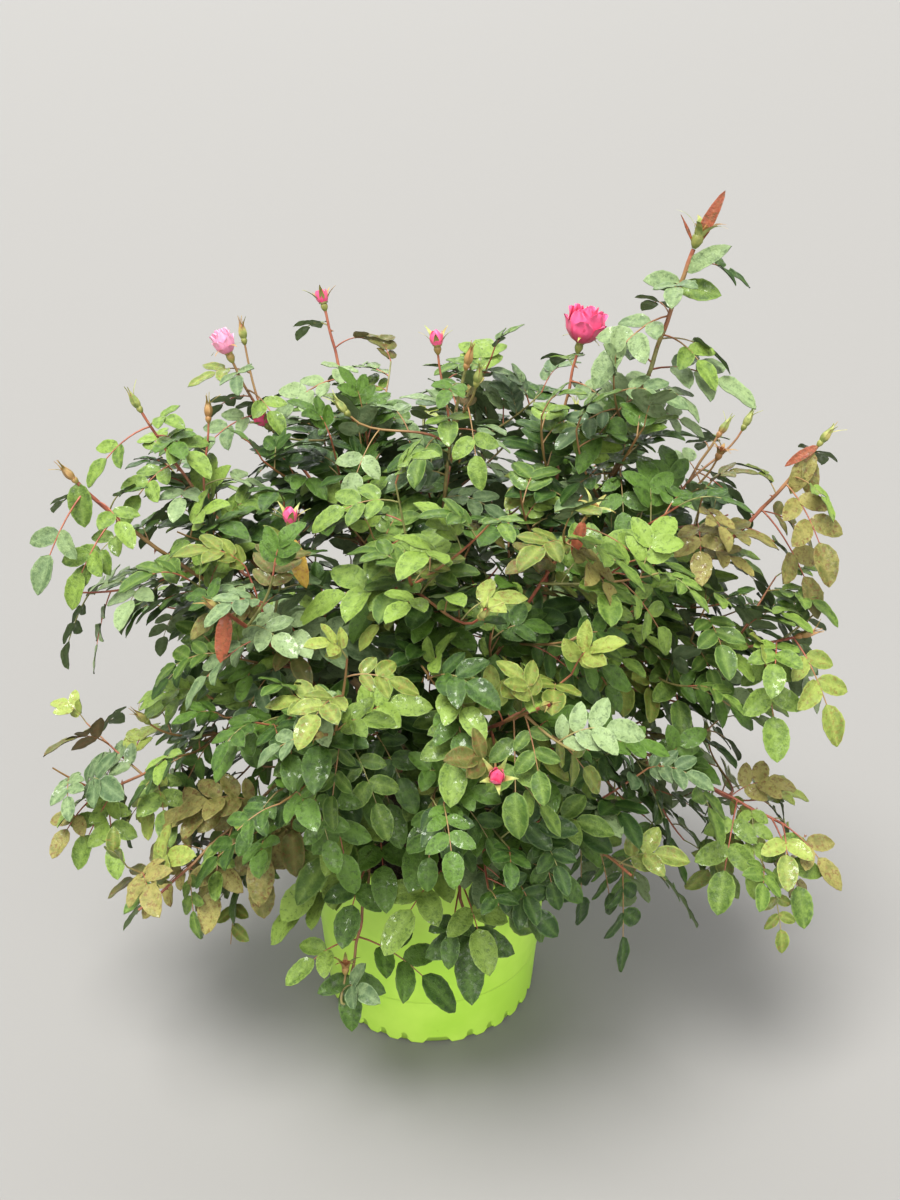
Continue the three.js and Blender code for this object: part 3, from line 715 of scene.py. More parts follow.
# What each shoot's tip holds, how much of the shoot's length a head of each kind takes up, and
# how large it is beside a full-grown one
TIP_HEADS = {
    "left_far": "bud", "left_upper": "bud", "left_bloom": "pale bloom", "back_top": "pink bud",
    "centre_top": "bud", "open_bloom": "bloom", "right_tall": "spent", "right_buds": "bud",
    "right_far": "bud", "right_middle": "bud", "front_top": "bud", "right_front_top": "spent",
    "left_front": "bud", "front_left": "bud", "front_right": "bud", "back_upper": "spent",
    "back_right": "bud", "back_middle": "bud", "back_left": "bud",
}
HEAD_ROOM = {"bud": 0.020, "pink bud": 0.020, "spent": 0.018, "bloom": 0.030, "pale bloom": 0.025}
HEAD_SIZE = {"bud": 0.74, "pink bud": 0.86, "spent": 0.9, "bloom": 1.0, "pale bloom": 1.0}
for name, kind in TIP_HEADS.items():
    STEM_ENDS[name] = 1 - HEAD_ROOM[kind] / shoots[name]["stem"].length

stem_starts = np.concatenate([shoot["stem"].spaced(10)[:-1] for shoot in shoots.values()])
stem_ends = np.concatenate([shoot["stem"].spaced(10)[1:] for shoot in shoots.values()])
cane_starts = np.concatenate([shoot["cane"].spaced(12)[:-1] for shoot in shoots.values()])
cane_ends = np.concatenate([shoot["cane"].spaced(12)[1:] for shoot in shoots.values()])
cane_radii = np.repeat([shoot["radii"][0] for shoot in shoots.values()], 12)


def distances(points, starts, ends):
    """Distance of each point to each short stretch of a limb."""
    stretch = ends - starts
    from_start = points[:, None] - starts[None]
    share = (from_start * stretch).sum(-1) / (stretch ** 2).sum(-1)
    nearest = starts + stretch * np.clip(share, 0, 1)[..., None]
    return np.linalg.norm(points[:, None] - nearest, axis=-1)


def in_own_space(points, shoot, slack=NEIGHBOUR_SLACK):
    """A spray keeps to what lies nearer to its own stem than to others, clear of limbs and pot."""
    points = np.atleast_2d(points)
    to_stems = distances(points, stem_starts, stem_ends).reshape(len(points), len(shoots), 10).min(-1)
    own = to_stems[:, shoot["index"]].copy()
    to_stems[:, shoot["index"]] = 9
    clear = own < to_stems.min(-1) + slack
    clear &= (distances(points, cane_starts, cane_ends) > cane_radii + LIMB_MARGIN).all(-1)
    from_axis = np.hypot(points[:, 0], points[:, 1])
    clear &= from_axis < max(shoot["reach"], CROWN_RADIUS) + REACH_SPARE
    over_soil = from_axis < POT_TOP_RADIUS - POT_WALL - LIMB_MARGIN
    outside_pot = from_axis > POT_TOP_RADIUS + RIM_PROUD + LIMB_MARGIN
    hanging = min(max(shoot["whole"].at(1.0)[2] - TIP_HANG, LOWEST_LEAF), SKIRT_HEIGHT)
    lowest = np.where(over_soil, SOIL_HEIGHT, np.where(outside_pot, hanging, POT_HEIGHT)) + LIMB_MARGIN
    return clear & (points[:, 2] > lowest)


def turned(vector, axis, angle):
    axis = unit(axis)
    along = axis * np.dot(axis, vector)
    return along + (vector - along) * math.cos(angle) + np.cross(axis, vector) * math.sin(angle)


def leaving_direction(tangent, angle, forward):
    right = unit(np.cross(tangent, UP + np.array([0.001, 0.002, 0])))
    direction = turned(right, tangent, math.radians(angle))
    return unit(direction + tangent * forward + UP * LEAF_LIFT)


def facing(point, heading, swing):
    outward = unit(np.array([point[0], point[1], 0.0]) + 1e-6)
    lean = np.interp(point[2], FACE_HEIGHTS, FACE_LEANS)
    own_way = np.array([heading[0], heading[1], 0.0]) * FACE_OWN_WAY
    return turned(unit(outward * lean + own_way + UP), heading, (swing - 0.5) * FACE_SWING)


twigs = {"red": Joined(), "green": Joined()}
stalks = {"red": Joined(), "green": Joined()}
leaflets = {tint: [] for tint in TINTS}
leaflet_middles = np.zeros((0, 3))
middle_count = 0


def dealt(mix, share):
    """The tint that a share from 0 to 1 falls on in a mix of tints."""
    for tint, part in mix:
        if share < part:
            return tint
        share -= part
    return mix[0][0]


def compound_leaf(origin, heading, face, size, count, shoot):
    """Works out one leaf: its drooping stalk and as many of its leaflets as fit. With no shoot
    named, every leaflet is kept."""
    length = size * LEAF_STALK_SHARE
    run = np.linspace(0, 1, STALK_POINTS)[:, None]
    sag = UP * (-LEAF_SAG * length)
    line = origin + heading * length * run + sag * run ** 2
    made = []
    for station, side, share in LEAFLETS[:count]:
        root = origin + heading * length * station + sag * station ** 2
        forward = unit(heading * length + sag * 2 * station)
        across = unit(np.cross(forward, face))
        out = np.cross(across, forward)
        along = unit(forward * (1 if side == 0 else 0.72) + across * side * 0.95 + out * 0.1 * abs(side))
        normal = turned(out, along, -side * 0.22)
        sideways = unit(np.cross(along, normal))
        normal = np.cross(sideways, along)
        blade = size * share
        reach = root + along * blade
        middle = root + along * blade * 0.5
        edge = sideways * blade * LEAFLET_WIDTH * 0.5
        made.append({"root": root, "along": along, "sideways": sideways, "normal": normal,
                     "length": blade, "slimness": 1.0,
                     "tests": np.array([middle, reach, middle + edge, middle - edge])})
    if shoot is None:
        return line, made
    tests = np.concatenate([leaf["tests"] for leaf in made])
    fits = in_own_space(tests, shoot).reshape(-1, 4).all(-1)
    middles = tests.reshape(-1, 4, 3)[:, 0]
    if middle_count:
        gaps = np.linalg.norm(middles[:, None] - leaflet_middles[None, :middle_count], axis=-1)
        fits &= gaps.min(-1) > CLOSEST_LEAFLETS
    return line, [leaf for leaf, fit in zip(made, fits) if fit]


def add_leaf(point, tangent, angle, size, count, shoot, mix, keys, forward=0.45):
    """Grows the fullest of several leaves round a node, starting from the node's own angle."""
    global leaflet_middles, middle_count
    best = None
    for attempt in range(LEAF_TRIES):
        heading = leaving_direction(tangent, angle + attempt * 360 / LEAF_TRIES, forward)
        face = facing(point, heading, draw(*keys, 1))
        line, made = compound_leaf(point, heading, face, size, count, shoot)
        if best is None or len(made) > len(best[1]):
            best = (line, made)
        if len(made) == count:
            break
    line, made = best
    if len(made) < min(3, count):
        return
    tint = dealt(mix, draw(*keys, 2))
    shade = draw(*keys, 3)
    for n, leaf in enumerate(made):
        leaf["shade"] = min(max(shade + (draw(*keys, n, 4) - 0.5) * 0.3, 0), 1)
        leaf["wave"] = draw(*keys, n, 5)
        leaflets[tint].append(leaf)
    middles = np.array([leaf["tests"][0] for leaf in made])
    if middle_count + len(middles) > len(leaflet_middles):
        leaflet_middles = np.concatenate([leaflet_middles, np.zeros((4000, 3))])
    leaflet_middles[middle_count:middle_count + len(middles)] = middles
    middle_count += len(middles)
    flushed = tint in ("bronze", "young_red", "old_gold") or draw(*keys, 6) < 0.35
    radii = STALK_RADIUS * np.linspace(1.15, 0.6, STALK_POINTS)
    stalks["red" if flushed else "green"].grid(tube(line, radii, 4), closed=True)


def spray_mix(mix, share):
    """One tint leads a twig's leaves, with a few of the spray's other tints among them."""
    return [(dealt(mix, share), 0.72)] + [(tint, part * 0.28) for tint, part in mix]


def free_twig(point, tangent, angle, length, shoot):
    """The first of several twigs round a node that stays in the spray's own space, or None."""
    outward = unit(np.array([point[0], point[1], 0.001]))
    for attempt in range(TWIG_TRIES):
        heading = leaving_direction(tangent, angle + 25 + attempt * 45, 0.55)
        bend = unit(heading + UP * 0.45 + outward * 0.25)
        reach = length * (1 - 0.06 * attempt)
        twig = Curve([point, point + heading * reach * 0.35,
                      point + heading * reach * 0.55 + bend * reach * 0.1,
                      point + heading * reach * 0.5 + bend * reach * 0.5])
        if in_own_space(twig.spaced(5)[2:], shoot).all():
            return twig
    return None


for name, shoot in shoots.items():
    index = shoot["index"]
    stem = shoot["stem"]
    mix = SPRAY_TINTS.get(name, SUMMER)
    last_node = min(0.97, STEM_ENDS.get(name, 1.0) - 0.012)
    nodes = round(stem.length * last_node / NODE_SPACING)
    for node in range(nodes):
        station = (node + 0.5) / nodes * last_node
        point = stem.at(station)
        tangent = stem.tangent(station)
        angle = node * GOLDEN_ANGLE + draw(index, 0) * 360
        size = LEAF_SIZE * (1.06 - 0.30 * station) * (0.8 + 0.35 * draw(index, node, 1))
        count = 5 if draw(index, node, 7) < 0.75 else 7
        near_tip = name in OPEN_TIPS and station > 0.5
        if station > 0.8 or near_tip:
            count = 3 if draw(index, node, 7) < 0.5 else 5
        if near_tip:
            size *= 0.86
        if name in FEW_LEAVED:
            size *= 1.2
            if station > 0.40:
                continue
        add_leaf(point, tangent, angle, size, count, shoot, mix, (index, node, 10))
        inner = station < INNER_SHARE
        if (node % 2 and not inner) or near_tip or name in FEW_LEAVED or station > 0.86:
            continue
        length = TWIG_LENGTH * (1.1 - 0.6 * station) * (0.65 + 0.6 * draw(index, node, 8))
        twig = free_twig(point, tangent, angle, length, shoot)
        if twig is None:
            continue
        bark = "red" if draw(index, node, 9) < 0.55 else "green"
        radii = np.linspace(0.0014, 0.0008, TWIG_STEPS + 1)
        twigs[bark].grid(tube(twig.spaced(TWIG_STEPS), radii, 6), closed=True)
        # Leaves on inner twigs take the mostly deep green mix: painted shade for the crown's middle
        twig_mix = PAINTED_SHADE_MIX if inner else spray_mix(mix, draw(index, node, 11))
        leaves = max(round(twig.length / TWIG_LEAF_SPACING), 2)
        for n in range(leaves):
            share = (n + 1) / leaves
            leaf_size = LEAF_SIZE * (1.0 - 0.22 * share) * (0.78 + 0.35 * draw(index, node, n, 12))
            count = 5 if draw(index, node, n, 13) < 0.8 else 7
            forward = 2.2 if n == leaves - 1 else 0.5
            add_leaf(twig.at(share), twig.tangent(share), n * GOLDEN_ANGLE + angle, leaf_size, count,
                     shoot, twig_mix, (index, node, n, 14), forward)


def zigzag(points, length):
    """A stem bends a little at every node, one way and then the other."""
    points = np.array(points)
    ahead = unit(points[-1] - points[0])
    side = unit(np.cross(ahead, UP + np.array([0.01, 0.02, 0])))
    run = np.linspace(0, 1, len(points))
    swing = np.abs((run * length / NODE_SPACING) % 2 - 1) - 0.5
    return points + (swing * np.sin(run * math.pi) ** 0.5)[:, None] * side * STEM_ZIGZAG


for name, shoot in shoots.items():
    stem = shoot["stem"]
    count = max(int(stem.length / STEM_STEP), 20)
    tip_radius = STOUT_TIPS.get(name, SPRAY_TIP_RADIUS)
    root_radius = max(shoot["radii"][1] * STEM_SHRINK, tip_radius)
    radii = limb_radii(stem.length, root_radius, tip_radius, count + 1, 8, shoot["index"])
    kept = round((count + 1) * STEM_ENDS.get(name, 1.0))
    bark = "green" if name in GREEN_STEMS else "red"
    line = zigzag(stem.spaced(count)[:kept], stem.length)
    flushed_from = round(kept * 0.8) if name == "right_tall" else kept
    twigs[bark].grid(tube(line[:flushed_from], radii[:flushed_from], 8), closed=True)
    if flushed_from < kept:
        end = slice(flushed_from - 1, kept)
        twigs["red"].grid(tube(line[end], radii[end], 8), closed=True)
    if name not in FEW_LEAVED:
        grow_prickles(stem, shoot["radii"][1], tip_radius, shoot["index"] + 40, 0.024, 0.0036)


def leaflet_grid(rows, columns, upper):
    """Leaflets of one tint, as grids: an ovate toothed outline, folded along the midrib, with
    raised panels between the veins and a drooping tip."""
    run = np.linspace(0, 1, LEAFLET_ROWS + 1)
    width = run ** 0.54 * (1 - run) ** 0.68
    width = width / width.max()
    width[0] = 0.05
    width[-1] = 0.02
    odd = np.arange(LEAFLET_ROWS + 1) % 2 == 1
    teeth = np.where(odd, 1.022, 0.978)
    spread = np.array(columns, dtype=float)
    edge = (np.abs(spread) == 1)[None]
    outline = width[:, None] * spread[None] * np.where(edge, teeth[:, None], 1.0)
    panels = np.where(np.abs(spread) == 0.5, 0.016, 0.0)[None] * np.where(odd, 1, 0.1)[:, None]

    def each(key):
        return np.array([leaf[key] for leaf in rows])[:, None, None]

    length = each("length")
    wave = each("wave")
    across = outline[None] * length * each("slimness") * LEAFLET_WIDTH / 2 * (0.92 + 0.16 * wave)
    fold = 0.08 + 0.20 * wave
    droop = 0.05 + 0.22 * ((wave * 7.3) % 1)
    run = run[None, :, None]
    out = np.abs(across) * fold - droop * length * run ** 2
    out = out + panels[None] * length
    out = out + 0.018 * length * np.sin(run * 11 + wave * 40) * edge[None] * np.sign(spread)
    if not upper:
        out = out - LEAFLET_THICKNESS
    ahead = run * length * (1 - 0.10 * droop * run)
    flat = each("sideways") * across[..., None] + each("along") * ahead[..., None]
    return each("root") + flat + each("normal") * out[..., None]


def leaf_finish(name, dark, light, rib_colour, stain, gloss, stained=0.6):
    """A leaf's skin: tone by leaf, dark wet blotches, a paler midrib and edge, an uneven gloss."""
    made = new_finish(name)
    place = made.place()
    tone = made.kept("shade")
    rib = made.kept("rib")
    mottle = made.noise(place, 150.0, 5.0, 0.7)
    wet = made.noise(place, 210.0, 4.0, 0.7).between(0.52, 0.62)
    blotches = made.noise(place, 240.0, 4.0, 0.75).between(0.52, 0.62)
    margin = 1 - rib.between(0.0, 0.22)
    lightness = tone * 0.95 + mottle.between(0.3, 0.7) * 0.5 - 0.22
    skin = made.blend(lightness.between(0.0, 1.0), dark, light)
    skin = made.blend(blotches * stained, skin, stain)
    made.surface({
        "Base Color": made.blend(rib ** 3.0 * 0.35 + margin * 0.38, skin, rib_colour),
        "Roughness": gloss + 0.25 - wet * 0.20,
        "Coat Weight": wet * 0.5,
        "Coat Roughness": 0.12,
        "Specular IOR Level": 0.3,
        "Normal": made.bump(made.noise(place, 300.0, 4.0, 0.7), 0.75, 0.0016),
    })
    return made


# Buds, hips and blooms
# Shoots and some short twigs end in a green hip with five long sepals. Most still hold a closed
# bud, a few show pink petals, one is an open magenta bloom and one a paler, half-open one.
HIP_LENGTH = 0.0085
SEPAL_LENGTH = 0.019
SEPAL_WIDTH = 0.0050
BLOOM_STALK_RADII = (0.0013, 0.0010)
BLOOM_STALK_STEPS = 9
HEAD_OPENING = {"bud": 0.05, "pink bud": 0.42, "spent": 0.7, "bloom": 1.0, "pale bloom": 0.95}

# Sections in metres: height and radius of the hip and the bud, then height, distance from the
# axis and half width of a shut sepal and of a loose petal on a bud
HIP_SECTION = [(-0.001, 0.0012), (0.001, 0.0027), (0.004, 0.0039), (0.0065, 0.0038),
               (HIP_LENGTH, 0.0028), (HIP_LENGTH + 0.0004, 0.0004)]
BUD_SECTION = [(0, 0.0028), (0.003, 0.0044), (0.007, 0.0050), (0.011, 0.0040), (0.0145, 0.0022),
               (0.017, 0.0004)]
SHUT_SEPAL = [(0, 0.0030, 0.0026), (0.004, 0.0045, 0.0032), (0.008, 0.0048, 0.0030),
              (0.012, 0.0038, 0.0022), (0.016, 0.0024, 0.0014)]
BUD_PETAL = [(0.0, 0.003, 0.003), (0.005, 0.0068, 0.006), (0.011, 0.0072, 0.006), (0.016, 0.0060, 0.002)]

# Rings of a bloom from its heart outwards: how many petals, their turn, and a petal's section as
# height, distance from the axis and half width, in millimetres. Then how tall and wide each is.
BLOOM_RINGS = [
    (3, 0.0, [(0, 1.5, 1), (8, 4.5, 5), (18, 5.4, 6), (27, 4.2, 5), (31, 3.2, 2)]),
    (4, 0.5, [(0, 2, 2), (7, 9, 7), (18, 11.5, 9), (27, 9.8, 8), (31, 9.4, 3)]),
    (4, 0.2, [(0, 2, 2), (5, 12, 9), (15, 17, 12), (25, 16, 11), (29, 16.8, 4)]),
    (5, 0.8, [(0, 2, 2), (4, 13, 9), (13, 20, 14), (22, 20.5, 13), (27, 21.5, 6)]),
    (5, 0.1, [(0, 2, 2), (3, 12, 8), (9, 20, 13), (16, 22.5, 14), (20, 25.5, 6)]),
]
BLOOM_SHAPES = {"bloom": (1.10, 0.75), "pale bloom": (0.78, 0.43)}

# Short flowering twigs: the shoot each leaves, its head's azimuth, reach and height, and its head
FLOWERING_TWIGS = [
    ("left_upper", 174, 0.200, 0.625, "bud"),
    ("left_bloom", 150, 0.200, 0.675, "bud"),
    ("back_top", 158, 0.160, 0.605, "pink bud"),
    ("centre_top", 196, 0.070, 0.645, "bud"),
    ("centre_top", 0, 0.010, 0.695, "pink bud"),
    ("centre_top", 304, 0.075, 0.685, "bud"),
    ("right_buds", 18, 0.320, 0.590, "bud"),
    ("right_buds", 12, 0.280, 0.575, "spent"),
    ("left_front", 227, 0.165, 0.580, "pink bud"),
    ("front_top", 280, 0.245, 0.560, "bud"),
    ("front_right", 280, 0.315, 0.460, "pink bud"),
    ("front_hanging_left", 249, 0.210, 0.170, "spent"),
    ("right_low", 0, 0.280, 0.295, "bud"),
    ("left_low", 193, 0.270, 0.355, "bud"),
    ("back_right", 57, 0.295, 0.550, "bud"),
    ("back_left", 142, 0.305, 0.515, "spent"),
]

# Single coloured leaves that show, which all face up and forward: the shoot or twig, how far up
# to its head, the way the leaf points, its length, slimness and tint
SHOWN_FACE = np.array([0.0, -0.72, 0.69])
SHOWN_LEAVES = [
    ("right_tall", 1.00, (0.42, 0.05, 0.88), 0.052, 0.38, "young_red"),
    ("right_tall", 1.00, (-0.40, 0.00, 0.90), 0.030, 0.14, "young_red"),
    ("right_tall", 0.94, (0.62, -0.40, 0.62), 0.044, 0.66, "blue_green"),
    ("right_tall", 0.90, (0.95, -0.30, -0.05), 0.037, 1.00, "mid_green"),
    ("right_tall", 0.91, (-0.90, -0.35, 0.25), 0.035, 1.00, "blue_green"),
    ("right_far", 1.00, (-0.75, -0.20, -0.35), 0.034, 0.45, "young_red"),
    ("right_far", 0.98, (-0.45, -0.30, -0.85), 0.044, 0.80, "bronze"),
    ("right_far", 0.96, (0.10, -0.40, -0.90), 0.040, 0.80, "bronze"),
    ("right_front_top", 0.97, (-0.25, -0.30, -0.85), 0.032, 0.60, "young_red"),
    ("left_front twig", 0.95, (0.30, -0.35, -0.85), 0.046, 0.60, "old_gold"),
    ("left_front twig", 0.90, (-0.40, -0.30, 0.55), 0.028, 0.40, "yellow_green"),
    ("left_front", 0.97, (-0.15, -0.35, -0.92), 0.042, 0.62, "young_red"),
    ("left_far", 1.00, (0.10, -0.35, -0.90), 0.040, 0.90, "mid_green"),
    ("front_hanging_right", 0.98, (-0.85, -0.45, -0.25), 0.044, 0.95, "deep_green"),
    ("front_hanging_right", 0.98, (0.90, -0.40, -0.15), 0.046, 0.90, "deep_green"),
    ("front_hanging_right", 1.00, (0.05, -0.55, -0.80), 0.062, 0.85, "deep_green"),
    ("front_hanging_left", 0.97, (-0.80, -0.50, -0.10), 0.034, 0.90, "deep_green"),
    ("front_hanging_left", 0.97, (0.85, -0.45, -0.10), 0.036, 0.90, "deep_green"),
    ("front_hanging_left", 1.00, (0.05, -0.50, -0.85), 0.046, 0.90, "deep_green"),
]

# Leaves near the tips of shoots that stand clear, before the pot, and in the openings of the
# crown: the shoot, how far along it, the way the leaf points, its size, leaflets and tint
CLEAR_LEAVES = [
    ("right_tall", 0.790, (-0.80, -0.60, 0.05), 0.092, 5, "blue_green"),
    ("right_tall", 0.745, (0.60, -0.75, 0.10), 0.070, 3, "mid_green"),
    ("right_tall", 0.660, (0.90, -0.30, 0.35), 0.100, 5, "blue_green"),
    ("right_tall", 0.600, (-0.70, -0.65, -0.05), 0.088, 5, "deep_green"),
    ("left_far", 0.900, (-0.45, -0.60, -0.40), 0.084, 3, "blue_green"),
    ("left_far", 0.850, (0.55, -0.70, 0.25), 0.066, 3, "mid_green"),
    ("left_far", 0.780, (-0.50, -0.70, -0.35), 0.078, 3, "mid_green"),
    ("left_upper", 0.860, (-0.80, -0.50, -0.10), 0.070, 3, "mid_green"),
    ("left_upper", 0.820, (0.70, -0.60, 0.30), 0.074, 5, "mid_green"),
    ("left_upper", 0.700, (-0.55, -0.75, 0.05), 0.074, 5, "mid_green"),
    ("back_top", 0.720, (-0.85, -0.50, 0.10), 0.084, 5, "blue_green"),
    ("back_top", 0.640, (0.85, -0.45, 0.25), 0.086, 5, "blue_green"),
    ("left_bloom", 0.800, (0.60, -0.70, 0.10), 0.062, 3, "mid_green"),
    ("left_bloom", 0.700, (-0.85, -0.50, 0.10), 0.078, 5, "blue_green"),
    ("open_bloom", 0.780, (0.60, -0.70, 0.15), 0.080, 5, "blue_green"),
    ("left_hanging", 0.120, (0.25, -0.90, -0.15), 0.100, 5, "bronze"),
    ("left_hanging", 0.220, (-0.10, -0.95, -0.10), 0.105, 5, "bronze"),
    ("left_hanging", 0.340, (0.15, -0.90, -0.35), 0.092, 5, "bronze"),
    ("left_hanging", 0.460, (-0.25, -0.85, -0.30), 0.090, 3, "bronze"),
    ("right_far", 0.800, (0.35, -0.80, -0.20), 0.094, 5, "bronze"),
    ("right_far", 0.700, (0.60, -0.60, -0.45), 0.096, 3, "bronze"),
    ("front_hanging_right", 0.260, (0.70, -0.70, 0.35), 0.100, 5, "blue_green"),
    ("front_hanging_right", 0.300, (-0.60, -0.80, 0.20), 0.105, 5, "mid_green"),
    ("front_hanging_right", 0.360, (0.30, -0.90, 0.10), 0.095, 3, "mid_green"),
    ("front_hanging_right", 0.440, (-0.15, -0.95, 0.05), 0.070, 3, "deep_green"),
    ("front_hanging_left", 0.300, (-0.25, -0.90, 0.15), 0.090, 3, "deep_green"),
    ("front_hanging_left", 0.640, (0.90, -0.40, 0.05), 0.105, 5, "deep_green"),
    ("front_hanging_left", 0.650, (-0.80, -0.50, 0.35), 0.078, 3, "mid_green"),
    ("left_low", 0.880, (-0.45, -0.80, 0.10), 0.070, 3, "bronze"),
    ("left_low", 0.840, (0.25, -0.90, -0.20), 0.078, 5, "mid_green"),
    ("left_low", 0.780, (-0.50, -0.80, -0.20), 0.080, 5, "mid_green"),
    ("left_low", 0.640, (0.30, -0.90, 0.10), 0.084, 5, "mid_green"),
    ("right_low", 0.830, (0.70, -0.70, 0.05), 0.082, 3, "bronze"),
    ("right_low", 0.860, (-0.10, -0.90, 0.35), 0.080, 3, "yellow_green"),
    ("right_low", 0.820, (0.30, -0.90, -0.30), 0.092, 5, "mid_green"),
    ("right_low", 0.680, (-0.30, -0.90, -0.30), 0.096, 5, "mid_green"),
    ("right_middle", 0.900, (0.45, -0.80, -0.40), 0.090, 5, "yellow_green"),
    ("right_middle", 0.830, (-0.20, -0.85, 0.40), 0.080, 5, "mid_green"),
    ("right_middle", 0.760, (0.10, -0.95, -0.35), 0.095, 5, "mid_green"),
    ("front_top", 0.300, (-0.92, -0.05, 0.35), 0.112, 7, "deep_green"),
    ("front_top", 0.600, (-0.88, -0.15, 0.48), 0.108, 5, "mid_green"),
    ("front_top", 0.030, (-0.10, -0.55, -0.70), 0.105, 7, "deep_green"),
    ("left_front", 0.350, (0.35, -0.20, 0.88), 0.105, 5, "deep_green"),
    ("left_front", 0.550, (0.80, -0.10, 0.55), 0.108, 5, "blue_green"),
    ("centre_top", 0.020, (0.90, -0.30, 0.35), 0.100, 5, "deep_green"),
    ("front_right", 0.020, (-0.25, -0.10, 0.95), 0.105, 5, "deep_green"),
    ("front_left", 0.050, (0.85, -0.35, 0.30), 0.098, 5, "deep_green"),
    ("front_hanging_left", 0.150, (0.10, -0.90, 0.25), 0.095, 5, "deep_green"),
]

petals = {"magenta": Joined(), "pale_pink": Joined(), "bud_pink": Joined()}
hips = Joined()
sepals = Joined()
stamens = Joined()


def around(point, axis):
    """Two directions across an axis, for building a head round it."""
    side = unit(np.cross(axis, np.array([0.31, 0.17, 0.93])))
    return side, np.cross(axis, side)


def scaled(outline, scale):
    return [tuple(measure * scale for measure in row) for row in outline]


def turned_form(point, axis, profile, sides, key=0, ribs=0.0):
    side, over = around(point, axis)
    angle = np.linspace(0, math.tau, sides, endpoint=False)
    rows = []
    for height, radius in profile:
        swell = 1 + ribs * np.cos(angle * 5 + key + height * 160)
        ring = (np.cos(angle) * swell)[:, None] * side + (np.sin(angle) * swell)[:, None] * over
        rows.append(point + axis * height + ring * radius)
    return rows


def petal_rows(point, axis, angle, outline, rows=9, columns=7, ruffle=0.0, key=0):
    """A petal on a surface of revolution. Each row of the outline gives height, distance from the
    axis and half width."""
    side, over = around(point, axis)
    run = np.linspace(0, 1, len(outline))
    fine = np.linspace(0, 1, rows)
    height = np.interp(fine, run, [row[0] for row in outline])
    out = np.interp(fine, run, [row[1] for row in outline])
    half = np.interp(fine, run, [row[2] for row in outline])
    across = np.linspace(-1, 1, columns)
    turn_by = angle + across[None] * np.minimum(half / np.maximum(out, 0.002), 1.5)[:, None]
    wave = ruffle * np.sin(across[None] * 5 + key) * fine[:, None] ** 2
    radius = out[:, None] * (1 + wave) + 0.0006 * across[None] ** 2
    ring = np.cos(turn_by)[..., None] * side + np.sin(turn_by)[..., None] * over
    drop = (0.12 * across[None] ** 2 * half[:, None] * fine[:, None] ** 3)[..., None] * axis
    return point + axis * height[:, None, None] + ring * radius[..., None] - drop


def add_sepals(point, axis, opening, key, scale):
    """Five narrow green sepals round the top of the hip. Opening 0 is shut and 1 bent right back."""
    for n in range(5):
        length = SEPAL_LENGTH * (0.8 + 0.4 * draw(int(key * 100), n, 50))
        if opening < 0.2:
            loose = max(draw(int(key * 100), n, 53) - 0.6, 0) * 0.02
            path = SHUT_SEPAL + [(0.016 + length * 0.3, 0.0012 + loose, 0.0007),
                                 (0.016 + length * 0.6, 0.0020 + loose * 2, 0.0002)]
            fineness = (12, 5)
        else:
            path = []
            out = 0.0032
            high = 0.0
            for step in range(6):
                path.append((high, out, SEPAL_WIDTH / 2 * (1 - (step / 5) ** 1.4) + 0.0002))
                lean = 0.25 + opening * 2.4 * (step / 5) ** 0.8
                high += math.cos(lean) * length / 5
                out += math.sin(lean) * length / 5
            fineness = (8, 4)
        sepal = petal_rows(point, axis, n * math.tau / 5 + key, scaled(path, scale), *fineness)
        sepals.grid(sepal, shade=draw(n, int(key * 70)))


def flower_head(point, axis, kind, key, stout=1.0):
    """A hip with its sepals, and the bud, petals or withered stamens that it carries."""
    axis = unit(axis)
    scale = HEAD_SIZE[kind] * stout
    hip = turned_form(point, axis, scaled(HIP_SECTION, scale), 14)
    hips.grid(hip, closed=True, shade=draw(int(key * 90)))
    top = point + axis * (HIP_LENGTH - 0.0006) * scale
    add_sepals(top, axis, HEAD_OPENING[kind], key, scale * (1.25 if kind == "pink bud" else 1.0))
    if kind in ("bud", "pink bud"):
        swell = 0.84 if kind == "bud" else 1.25
        section = [(height * scale, radius * swell * scale) for height, radius in BUD_SECTION]
        tint = "bud_pink" if kind == "bud" else "magenta"
        bud = turned_form(top, axis, section, 20, key, 0.09)
        petals[tint].grid(bud, closed=True, shade=draw(int(key * 60)))
    if kind == "pink bud":
        section = scaled(BUD_PETAL, scale * swell / 1.35)
        for n in range(3):
            loose_petal = petal_rows(top, axis, n * 2.1 + key, section, ruffle=0.08, key=n)
            petals["magenta"].grid(loose_petal, shade=0.7)
    if kind == "spent":
        for n in range(26):
            angle = n * 2.4
            lean = 0.25 + 0.5 * draw(n, int(key * 40), 51)
            side, over = around(top, axis)
            way = axis * math.cos(lean) + (side * math.cos(angle) + over * math.sin(angle)) * math.sin(lean)
            line = [top, top + way * 0.004 * scale, top + way * 0.0075 * scale]
            stamens.grid(tube(line, [0.0003, 0.0002, 0.0005], 4), closed=True)
    if kind in BLOOM_SHAPES:
        tall, wide = BLOOM_SHAPES[kind]
        tint = "magenta" if kind == "bloom" else "pale_pink"
        for number, offset, outline in BLOOM_RINGS:
            for n in range(number):
                swing = 1 + 0.10 * (draw(n, int(offset * 10), 54) - 0.5)
                section = [(high * tall * swing * 0.001, out * wide * swing * 0.001, half * wide * 0.001)
                           for high, out, half in outline]
                petal = petal_rows(top, axis, offset + key + n * math.tau / number, section,
                                   rows=14, columns=13, ruffle=0.09, key=n * 1.7 + offset)
                shade = np.linspace(0.0, 1.0, 14)[:, None] * 0.7 + 0.3 * draw(n, int(offset * 10), 52)
                petals[tint].grid(petal, shade=shade)


for name, kind in TIP_HEADS.items():
    stem = shoots[name]["stem"]
    end = STEM_ENDS[name]
    flower_head(stem.at(end), stem.tangent(end), kind, 0.7 + shoots[name]["index"] * 1.3,
                1.5 if name == "right_tall" else 1.0)

